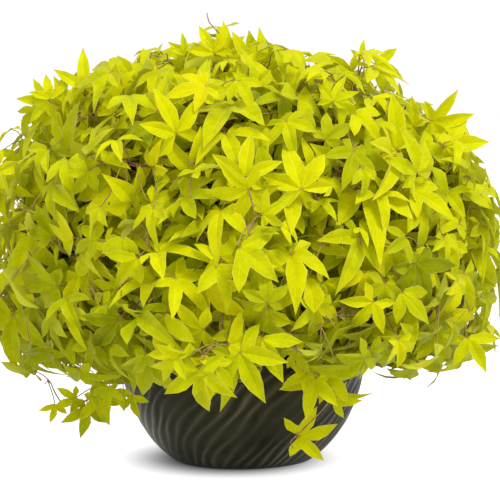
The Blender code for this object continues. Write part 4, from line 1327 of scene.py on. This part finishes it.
def grow_sprigs(leaves):
    """Adds the listed leaves. Gives the vines' lines, from the nearest limb on, and their masses."""
    lines, masses = [], []
    for vine, grown in SPRIGS.values():
        line = np.array(vine) / MM
        nearest = int(np.argmin(np.linalg.norm(nodes_at - line[0], axis=1)))
        lines.append(resample(np.concatenate([nodes_at[nearest][None], line]), SPRIG_POINTS))
        masses.append(nodes_of[nearest])
        rows = np.array(grown, float)
        level, high = rows[:, 0] / MM, rows[:, 1] / MM
        away = np.hypot(lines[-1][None, :, 0] - level[:, None], lines[-1][None, :, 2] - high[:, None])
        depth = lines[-1][np.argmin(away, axis=1), 1] + chance.uniform(*SPRIG_DEPTHS, len(rows))
        points_to = np.radians(rows[:, 3:4])
        lean = np.radians(chance.uniform(-SPRIG_LEAN, SPRIG_LEAN, (len(rows), 1)))
        roll = np.radians(chance.uniform(-SPRIG_ROLL, SPRIG_ROLL, (len(rows), 1)))
        across = RIGHT * np.cos(points_to) + UP * np.sin(points_to)
        tip_way = across * np.cos(lean) + FRONT * np.sin(lean)
        face_way = FRONT * np.cos(lean) - across * np.sin(lean)
        face_way = face_way * np.cos(roll) + np.cross(tip_way, face_way) * np.sin(roll)
        base = np.stack([level, depth, high], axis=1)
        leaves.add(base, tip_way, face_way, rows[:, 2] / MM, BY_HAND, rows[:, 4].astype(int))
    return lines, masses


sprig_lines, sprig_masses = grow_sprigs(leaves)
nodes_at = np.concatenate([nodes_at, *(line[SPRIG_BARE:] for line in sprig_lines)])
nodes_of = np.concatenate([nodes_of, *(np.full(SPRIG_POINTS - SPRIG_BARE, mass) for mass in sprig_masses)])
print(sum(map(len, leaves.base)), "leaves with the sprigs")

# %% [markdown]
# ## Leaves on the trailing vines
# One more vine hangs low at the back. Its leaves stand on both sides of the vine, faces outward, and get
# smaller towards its growing tip.

# %% Trailing leaves
TRAIL_TOP = 0.185
TRAIL_HANGS = 0.20  # the stem hangs free below this height
TRAIL_STEP = -0.0085
TRAIL_STOP = 0.004
TRAIL_SIZES, TRAIL_SIZE_CHANCE = (0.075, 0.040), (0.85, 1.1)
TIP_ASIDE, TIP_OUT = (0.1, 1.3), (0.05, 0.5)
FACE_ASIDE, FACE_LIFT, FACE_UNEVEN = (-0.1, 0.5), 0.35, 0.15
ROOM_OUT, ROOM_ASIDE, ROOM_UP = (0.006, 0.030), (0.004, 0.028), 0.008  # metres from the stem to the blade


def grow_trail(leaves, stem):
    """Adds the leaves of the trailing vine, left and right in turn, from the top down."""
    hanging = stem[stem[:, 2] < TRAIL_HANGS]
    heights = np.arange(TRAIL_TOP, TRAIL_BOTTOM + TRAIL_END - TRAIL_STOP, TRAIL_STEP)
    count = len(heights)

    def some(least, most):
        return chance.uniform(least, most, (count, 1))

    root = np.stack([np.interp(-heights, -hanging[:, 2], hanging[:, axis]) for axis in range(3)], axis=1)
    out = direction(np.full(count, TRAIL_ROUND), np.zeros(count))
    aside = np.cross(out, UP) * np.where(np.arange(count) % 2, 1.0, -1.0)[:, None]
    lead = unit(-UP + aside * some(*TIP_ASIDE) + out * some(*TIP_OUT))
    face = out + UP * FACE_LIFT + aside * some(*FACE_ASIDE) + chance.normal(0.0, FACE_UNEVEN, (count, 3))
    base = root + out * some(*ROOM_OUT) + aside * some(*ROOM_ASIDE) + UP * ROOM_UP
    size = np.linspace(*TRAIL_SIZES, count) * chance.uniform(*TRAIL_SIZE_CHANCE, count)
    leaves.add(base, lead, face, size, BY_HAND)


for space, stem_line in zip(SPACES, stems):
    if space.trails():
        grow_trail(leaves, stem_line)
leaves.pack()
print(len(leaves.base), "leaves with the trailing ones")

# %% [markdown]
# ## Pulling each leaf inside the outline
# A leaf that reaches out of the mound slides back towards the heart, in three passes. One that hangs a
# little below the hem moves up. One that hangs far below it, or would cut the bowl, is left out.

# %% Fitting
FIT_PASSES = 3
RAGGED = 0.045
UNDER_SLOPE, UNDER_ROOM = -0.25, 0.12  # leaves under the mound may go this share further out
MOST_LIFT = 0.035
DROPS = (-0.020, 0.026)  # metres that a leaf hangs above or below the hem
LOW_HANGING, LOW_DROP = 0.10, 0.03  # some leaves hang lower by so much
ABOVE_RIM, OFF_WALL = 0.004, 0.003


def blade_points(rows):
    """Points of these leaves, blade by blade: yields (which leaves, their points)."""
    for number, blade in enumerate(BLADES):
        which = rows[leaves.blade[rows] == number]
        if len(which):
            turned = np.einsum("pi,nij->npj", blade.points, leaves.axes[which])
            yield which, leaves.base[which, None, :] + turned * leaves.size[which, None, None]


def fit_leaves():
    """Slides the scattered leaves inside the outline and above the hem. Gives which leaves stay."""
    count = len(leaves.base)
    grown = np.flatnonzero(leaves.layer != BY_HAND)
    layer_share = np.array([layer[0] for layer in LAYERS])
    limit = layer_share[leaves.layer] + chance.uniform(-RAGGED, RAGGED * 0.5, count)
    drop = chance.uniform(*DROPS, count) - np.where(chance.uniform(0, 1, count) < LOW_HANGING, LOW_DROP, 0.0)
    good = np.ones(count, bool)
    for _pass in range(FIT_PASSES):
        for which, points in blade_points(grown):
            out = unit(points - HEART)
            over = share_of_reach(points) - limit[which, None] * outline_share(out)
            over[out[..., 2] < UNDER_SLOPE] -= UNDER_ROOM
            push = (over * reach(out)).max(axis=1)
            leaves.base[which] -= unit(leaves.base[which] - HEART) * np.maximum(push, 0.0)[:, None]
            lift = (hem(points) + drop[which, None] - points[..., 2]).max(axis=1)
            good[which[lift > MOST_LIFT]] = False
            leaves.base[which] += UP * np.clip(lift, 0.0, MOST_LIFT)[:, None]
    for which, points in blade_points(np.arange(count)):
        level = np.hypot(points[..., 0], points[..., 1])
        inside = (points[..., 2] < BOWL_HEIGHT + ABOVE_RIM) & (level < bowl_radius(points[..., 2]) + OFF_WALL)
        good[which] &= ~inside.any(axis=1)
    return good


leaves.keep(fit_leaves())
print(len(leaves.base), "leaves fit")

# %% [markdown]
# ## Leaves that make room for each other
# Real leaves push each other aside. We take them one at a time from the outside in, and test a coarse
# copy of each against those that stand near it. A leaf that would cut too many of their faces slides a
# little inwards and turns. It gets twelve tries and is left out if none fits. On the outline hardly any
# cuts are allowed, and further in more. Deep in the mound any place will do, and leaves placed one by
# one always stay.

# %% Settling
TRIES = 12
SLIDE = 0.004
TURN = 0.35
CELL = 0.075
NEAR = 0.13
ALLOWED = {BY_HAND: ANY, **{number: layer[3] for number, layer in enumerate(LAYERS)}}


def crossings(tree, middle, near):
    """How many faces of the leaves near this one its coarse copy would cut."""
    return sum(len(tree.overlap(other)) for spot, other in near if np.abs(middle - spot).sum() < NEAR)


def settle():
    """Finds a free place for each leaf. Gives which leaves stand."""
    stand = np.zeros(len(leaves.base), bool)
    order = np.lexsort((chance.uniform(0, 1, len(leaves.base)), leaves.layer))
    cells = {}
    for row in order:
        blade, allowed = BLADES[leaves.blade[row]], ALLOWED[leaves.layer[row]]
        for _attempt in range(TRIES):
            axes, size = leaves.axes[row], leaves.size[row]
            points = leaves.base[row] + blade.points @ axes * size
            middle = leaves.base[row] + axes[1] * size * BLADE_MIDDLE
            cell = tuple(np.floor(middle / CELL).astype(int))
            tree = BVHTree.FromPolygons(points.tolist(), blade.coarse)
            if allowed == ANY or crossings(tree, middle, neighbours(cells, cell)) <= allowed:
                cells.setdefault(cell, []).append((middle, tree))
                stand[row] = True
                break
            angle = chance.normal(0.0, TURN)
            across = axes[0] * math.cos(angle) + axes[1] * math.sin(angle)
            tip_way = axes[1] * math.cos(angle) - axes[0] * math.sin(angle)
            leaves.axes[row] = (across, tip_way, axes[2])
            leaves.base[row] = middle - tip_way * size * BLADE_MIDDLE - unit(middle - HEART) * SLIDE
    return stand


leaves.keep(settle())
print(len(leaves.base), "leaves found room")

# %% [markdown]
# ## Stalks
# Each leaf stands on a long thin stalk that bends up from its limb. For every leaf we look for a place
# that lies behind it about a stalk's length away, and the stalk runs from there in one soft curve.

# %% Joining leaves to twigs
BATCH = 256
BEHIND = (0.75, 0.45)  # how far back and up a stalk leaves its blade
STALK_LENGTH, STALK_LEAST = 0.032, 0.012
TURN_COST = 0.045  # metres of length that a stalk may be off to come from right behind
TOO_SHORT = 1.0


def find_roots():
    """For each leaf the best place on a limb, and the mass that the limb belongs to."""
    roots, masses = [], []
    back, up = BEHIND
    behind = unit(leaves.axes[:, 1] * back + leaves.axes[:, 2] * up)
    for start in range(0, len(leaves.base), BATCH):
        part = slice(start, start + BATCH)
        way = leaves.base[part, None, :] - nodes_at[None]
        far = np.linalg.norm(way, axis=2)
        ahead = np.einsum("nmj,nj->nm", way, behind[part]) / np.maximum(far, 1e-6)
        off = np.abs(far - STALK_LENGTH) + TURN_COST * (1.0 - ahead)
        best = np.argmin(off + np.where(far < STALK_LEAST, TOO_SHORT, 0.0), axis=1)
        roots.append(nodes_at[best])
        masses.append(nodes_of[best])
    return np.concatenate(roots), np.concatenate(masses)


leaves.root, leaves.mass = find_roots()
length = np.linalg.norm(leaves.base - leaves.root, axis=1)
print("stalks are", round(float(length.mean()), 3), "m long on average")
print("the longest is", round(float(length.max()), 3), "m")

# %% [markdown]
# ## Leaf finishes
# New leaves are yellow, older ones lime, the shaded ones deeper green. The deep green is partly painted
# shade, and the darkest tone is painted shade alone, for leaves deep in the mound. A pattern over the whole
# plant would look painted, so the colours are plain tones dealt out leaf by leaf. Light goes through a thin
# blade, so part of each finish is translucent, and the underside is paler. The veins, the edge and the
# reddish hub are laid over the tone one after another.

# %% Leaf materials
# painted shade: leaf_deep in part, and the last and darkest tone wholly, are darker copies of the lime for
# leaves in shade
LEAF_TONES = {
    "leaf_lime": ((0.64, 0.66, 0.0), (0.49, 0.52, 0.0)),
    "leaf_yellow": ((0.72, 0.71, 0.0), (0.60, 0.61, 0.0)),
    "leaf_fresh": ((0.50, 0.53, 0.0), (0.38, 0.42, 0.0)),
    "leaf_deep": ((0.33, 0.37, 0.0), (0.22, 0.26, 0.0)),
    "leaf_golden": ((0.75, 0.70, 0.0), (0.64, 0.60, 0.0)),
    "leaf_painted_shade": ((0.15, 0.21, 0.0), (0.08, 0.13, 0.0)),
}
LEAF_SKIN = {
    "Specular IOR Level": 0.12,
    "Specular Tint": (1.0, 1.0, 0.12, 1.0),
    "Sheen Weight": 0.08,
    "Sheen Roughness": 0.35,
    "Sheen Tint": (1.0, 1.0, 0.85, 1.0),
}
UNDERSIDE, UNDER_LEAST = (0.74, 0.78, 0.08), 0.25
THROUGH, THROUGH_LEAST, THROUGH_TONE = (0.70, 0.70), 0.15, 1.3
THINNESS = 0.28  # share of the light that goes through
BLADE_EDGE = (0.86, 0.78, 0.28)
BLADE_HUB = (0.40, 0.10, 0.08)
VEIN_LIFT, VEIN_PALE, VEIN_BLUE = 1.15, 0.04, 0.04


def leaf_material(name, tone, other):
    """A leaf's finish from its two tones."""
    leaf = mottled(name, tone, other, scale=60.0, contrast=3.5, roughness=0.34, bump=0.50, fine=350.0)
    tree, shader = leaf.tree, leaf.shader
    for inlet, value in LEAF_SKIN.items():
        shader.inputs[inlet].default_value = value
    place = tree.nodes.new("ShaderNodeAttribute")
    place.attribute_name = "place"
    veins = tree.nodes.new("ShaderNodeGroup")
    veins.node_tree = VEINS
    tree.links.new(place.outputs["Vector"], veins.inputs["Place"])
    pale = (*(min(1.0, VEIN_LIFT * t + VEIN_PALE) for t in tone[:2]), VEIN_BLUE)
    skin = leaf.mottle.outputs["Color"]
    layers = (
        ("Side Veins", 0.22, pale),
        ("Midrib", 0.45, pale),
        ("Edge", 0.32, BLADE_EDGE),
        ("Hub", 0.75, BLADE_HUB),
    )
    for mark, share, colour in layers:
        faint = math_node(tree, "MULTIPLY", veins.outputs[mark], share)
        skin = mix_colours(tree, faint, skin, (*colour, 1.0))
    under = (*((UNDER_LEAST + tone[0]) * u for u in UNDERSIDE), 1.0)
    side = tree.nodes.new("ShaderNodeNewGeometry").outputs["Backfacing"]
    tree.links.new(mix_colours(tree, side, skin, under), shader.inputs["Base Color"])
    glow = tree.nodes.new("ShaderNodeBsdfTranslucent")
    through = THROUGH_TONE * tone[0]
    glow.inputs["Color"].default_value = (*(THROUGH_LEAST + through * u for u in THROUGH), 0.0, 1.0)
    both = tree.nodes.new("ShaderNodeMixShader")
    for inlet, value in zip(both.inputs, (THINNESS, shader.outputs[0], glow.outputs[0])):
        feed(tree, inlet, value)
    tree.links.new(both.outputs[0], tree.nodes["Material Output"].inputs["Surface"])
    return leaf.material


leaf_finishes = [leaf_material(name, *tones) for name, tones in LEAF_TONES.items()]
red_tip = mottled("leaf_tip", (0.52, 0.20, 0.03), (0.66, 0.42, 0.01), scale=60.0, contrast=2.0, roughness=0.5)
foliage_finishes = [*leaf_finishes, red_tip.material]
print("leaf finishes:", ", ".join(made.name for made in foliage_finishes))

# %% [markdown]
# ## Dealing out the colours
# The outermost leaves are mostly yellow and lime, the inner ones greener and darker: painted shade deep
# in the mound. The low leaves are dealt greener tones too, most of all on the left, away from the big
# soft box: painted shade where they get less light. Some leaves keep a reddish tip.

# %% Tones for every leaf
# painted shade: the inner layers get more of the dark tones
DEALS = (  # for each layer the share of each tone
    (0.45, 0.32, 0.19, 0.01, 0.03, 0.0),
    (0.47, 0.18, 0.30, 0.04, 0.01, 0.0),
    (0.34, 0.06, 0.34, 0.22, 0.0, 0.04),
    (0.10, 0.0, 0.25, 0.40, 0.0, 0.25),
    (0.0, 0.0, 0.05, 0.40, 0.0, 0.55),
)
TIPPED = 0.35
# painted shade: low leaves, most of all on the left away from the key box, are turned to greener, darker
# tones
GREEN_BELOW, GREEN_FULL = 0.30, 0.12  # leaves below this height are greener, most so this much lower
GREEN_MIDDLE, GREEN_SLOPE, GREEN_LIMITS = 0.60, 1.5, (0.15, 0.95)
GREEN_FRESH = 0.70


def deal_tones():
    """Gives each leaf a tone by its layer, then turns low ones green: painted shade."""
    for layer, deal in enumerate(DEALS):
        rows = np.flatnonzero((np.maximum(leaves.layer, 0) == layer) & (leaves.tone < 0))
        leaves.tone[rows] = chance.choice(len(deal), len(rows), p=np.array(deal) / sum(deal))
    x, height = leaves.base[:, 0], leaves.base[:, 2]
    left = np.clip(GREEN_MIDDLE - GREEN_SLOPE * x, *GREEN_LIMITS)
    painted_shade_chance = np.clip((GREEN_BELOW - height) / GREEN_FULL, 0.0, 1.0) * left
    turned = (leaves.layer != BY_HAND) & (chance.uniform(0.0, 1.0, len(x)) < painted_shade_chance) & (leaves.tone < FRESH)
    leaves.tone[turned] = np.where(chance.uniform(0.0, 1.0, turned.sum()) < GREEN_FRESH, FRESH, DEEP)


deal_tones()
leaves.tipped = chance.uniform(0.0, 1.0, len(leaves.base)) < TIPPED
print("leaves of each tone:", dict(zip(LEAF_TONES, np.bincount(leaves.tone).tolist())))

# %% [markdown]
# ## Building the foliage
# One piece for each mass, which replaces that mass's solid. It holds the copies of all its blades, and each
# point keeps its place in its lobe, so that the finish can draw the veins.

# %% Foliage pieces
CREASE = math.radians(26.0)  # sharper folds than this stay sharp


def foliage(space, number):
    """Builds one mass. Gives how many leaves and triangles it has."""
    parts, which, places = [], [], []
    rows = np.flatnonzero(leaves.mass == number)
    for chosen, points in blade_points(rows):
        blade = BLADES[leaves.blade[chosen[0]]]
        each = np.arange(len(chosen))[:, None, None] * points.shape[1]
        parts.append((points.reshape(-1, 3), (blade.faces[None] + each).reshape(-1, 3)))
        places.append(np.tile(blade.place, (len(chosen), 1)))
        tone = np.repeat(leaves.tone[chosen], len(blade.faces)).reshape(len(chosen), -1)
        red = blade.tips[None] & leaves.tipped[chosen, None]
        which.append(np.where(red, len(leaf_finishes), tone).ravel())
    points, faces = join_parts(parts)
    piece = mesh_piece(f"{space.name}_foliage", points, faces, foliage_finishes, np.concatenate(which))
    piece.data.set_sharp_from_angle(angle=CREASE)
    mark_points(piece, "place", "FLOAT_VECTOR", "vector", np.concatenate(places))
    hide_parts(f"{space.name}_leaves")
    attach(piece, "root")
    return len(rows), len(faces)


total = np.array([foliage(space, number) for number, space in enumerate(SPACES)]).sum(axis=0)
print(total[0], "leaves,", total[1], "triangles")

# %% [markdown]
# ## Building the limbs
# Vines, twigs and stalks are each one piece. Young vines are pinkish tan, the stalks greener with a purple
# flush here and there.

# %% Vines
VINE_RADII = np.linspace(0.0031, 0.0024, VINE_POINTS)
VINE_SIDES = 8

vine_skin = mottled(
    "vine_skin", (0.46, 0.30, 0.14), (0.30, 0.13, 0.09),
    scale=70.0, contrast=2.5, roughness=0.55, bump=0.3, fine=500.0,
)
vine_piece = mesh_piece("vines", *tubes(np.array(vines), VINE_RADII, VINE_SIDES), [vine_skin.material])
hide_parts(*(f"{space.name}_vine" for space in SPACES))
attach(vine_piece, "root")
print("vines:", len(vine_piece.data.polygons), "triangles")

# %% Twigs
TWIG_KINDS = (  # lines, radius at the root and at the tip, sides
    (stems, 0.0024, 0.0014, 6),
    (twigs, 0.0017, 0.0012, 5),
    (side_twigs, 0.0013, 0.0008, 5),
    (sprig_lines, 0.0015, 0.0007, 6),
)

twig_skin = mottled(
    "twig_skin", (0.36, 0.24, 0.09), (0.22, 0.07, 0.07),
    scale=60.0, contrast=3.0, roughness=0.5, bump=0.2, fine=500.0,
)
parts = []
for lines, root, tip, sides in TWIG_KINDS:
    parts.append(tubes(np.array(lines), np.linspace(root, tip, len(lines[0])), sides))
twig_piece = mesh_piece("twigs", *join_parts(parts), [twig_skin.material])
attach(twig_piece, "root")
print("twigs:", len(twig_piece.data.polygons), "triangles")

# %% Leaf stalks
STALK_POINTS, STALK_SIDES = 6, 4
STALK_RADII = np.linspace(0.00085, 0.0006, STALK_POINTS)
STALK_UP, STALK_OUT = 0.35, 0.15
STALK_BACK, STALK_UNDER, STALK_ARRIVE = 0.8, 0.5, 0.35

stalk_skin = mottled(
    "stalk_skin", (0.46, 0.40, 0.05), (0.32, 0.12, 0.08),
    scale=40.0, contrast=3.0, roughness=0.45, bump=0.15, fine=500.0,
)
span = np.linalg.norm(leaves.base - leaves.root, axis=1)[:, None]
rise = UP * STALK_UP * span + unit(leaves.root - HEART) * STALK_OUT * span
arrive = unit(leaves.axes[:, 1] * STALK_BACK + leaves.axes[:, 2] * STALK_UNDER) * STALK_ARRIVE * span
stalk_lines = bezier(leaves.root, rise, leaves.base, arrive, STALK_POINTS)
stalk_piece = mesh_piece("leaf_stalks", *tubes(stalk_lines, STALK_RADII, STALK_SIDES), [stalk_skin.material])
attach(stalk_piece, "root")
print("stalks:", len(stalk_piece.data.polygons), "triangles")

# %% [markdown]
# ## The floor
# A wide white sheet. It gives back a little light of its own, like paper lit from all sides, so it stays
# white to the edges. Beside the bowl's foot the glow fades out: a painted shadow, darkest next to the
# foot.

# %% Floor
FLOOR_RADII = (0.05, 0.5, 2.0, 12.0)
FLOOR_STEPS = 64
FLOOR_BELOW = 0.0003
FLOOR_SKIN = {
    "Base Color": (0.50, 0.50, 0.57, 1.0),
    "Roughness": 0.9,
    "Specular IOR Level": 0.0,
    "Emission Color": (1.0, 1.0, 1.0, 1.0),
}
GLOW_SEEN, GLOW_GIVEN = 0.92, 0.42  # to the camera and to the plant
# painted shadow: the glow fades out in an oval round a point by the bowl's foot, between the two distances
# below
PAINTED_SHADOW_MIDDLE = (-0.018, 0.0, 0.0)
PAINTED_SHADOW_OVAL = (1.0, 0.93, 1.0)
PAINTED_SHADOW_SPAN = (0.064, 0.154)  # metres from the middle: no glow, full glow


def vector_node(tree, operation, first, second):
    """A Vector Math node that works on these two."""
    made = tree.nodes.new("ShaderNodeVectorMath")
    made.operation = operation
    feed(tree, made.inputs[0], first)
    feed(tree, made.inputs[1], second)
    return made


def make_paper():
    """White paper with a glow that fades out beside the bowl: a painted shadow round its foot."""
    paper = bpy.data.materials.new("white_sweep")
    paper.use_nodes = True
    tree = paper.node_tree
    shader = tree.nodes["Principled BSDF"]
    for inlet, value in FLOOR_SKIN.items():
        shader.inputs[inlet].default_value = value
    place = tree.nodes.new("ShaderNodeTexCoord").outputs["Object"]
    oval = vector_node(tree, "MULTIPLY", place, PAINTED_SHADOW_OVAL).outputs[0]
    away = vector_node(tree, "DISTANCE", oval, PAINTED_SHADOW_MIDDLE).outputs["Value"]
    painted_shadow = tree.nodes.new("ShaderNodeMapRange")
    painted_shadow.interpolation_type = "SMOOTHSTEP"
    painted_shadow.inputs["From Min"].default_value, painted_shadow.inputs["From Max"].default_value = PAINTED_SHADOW_SPAN
    tree.links.new(away, painted_shadow.inputs["Value"])
    seen = tree.nodes.new("ShaderNodeLightPath").outputs["Is Camera Ray"]
    glow = math_node(tree, "MULTIPLY_ADD", seen, GLOW_SEEN - GLOW_GIVEN, GLOW_GIVEN)
    strength = math_node(tree, "MULTIPLY", glow, painted_shadow.outputs["Result"])
    tree.links.new(strength, shader.inputs["Emission Strength"])
    return paper


around = steps_round(FLOOR_STEPS)
floor = turned_piece("floor", [ring(radius, around, 0.0) for radius in FLOOR_RADII], make_paper())
floor.location.z = -FLOOR_BELOW
print("floor:", FLOOR_RADII[-1], "m from its middle to its edge")
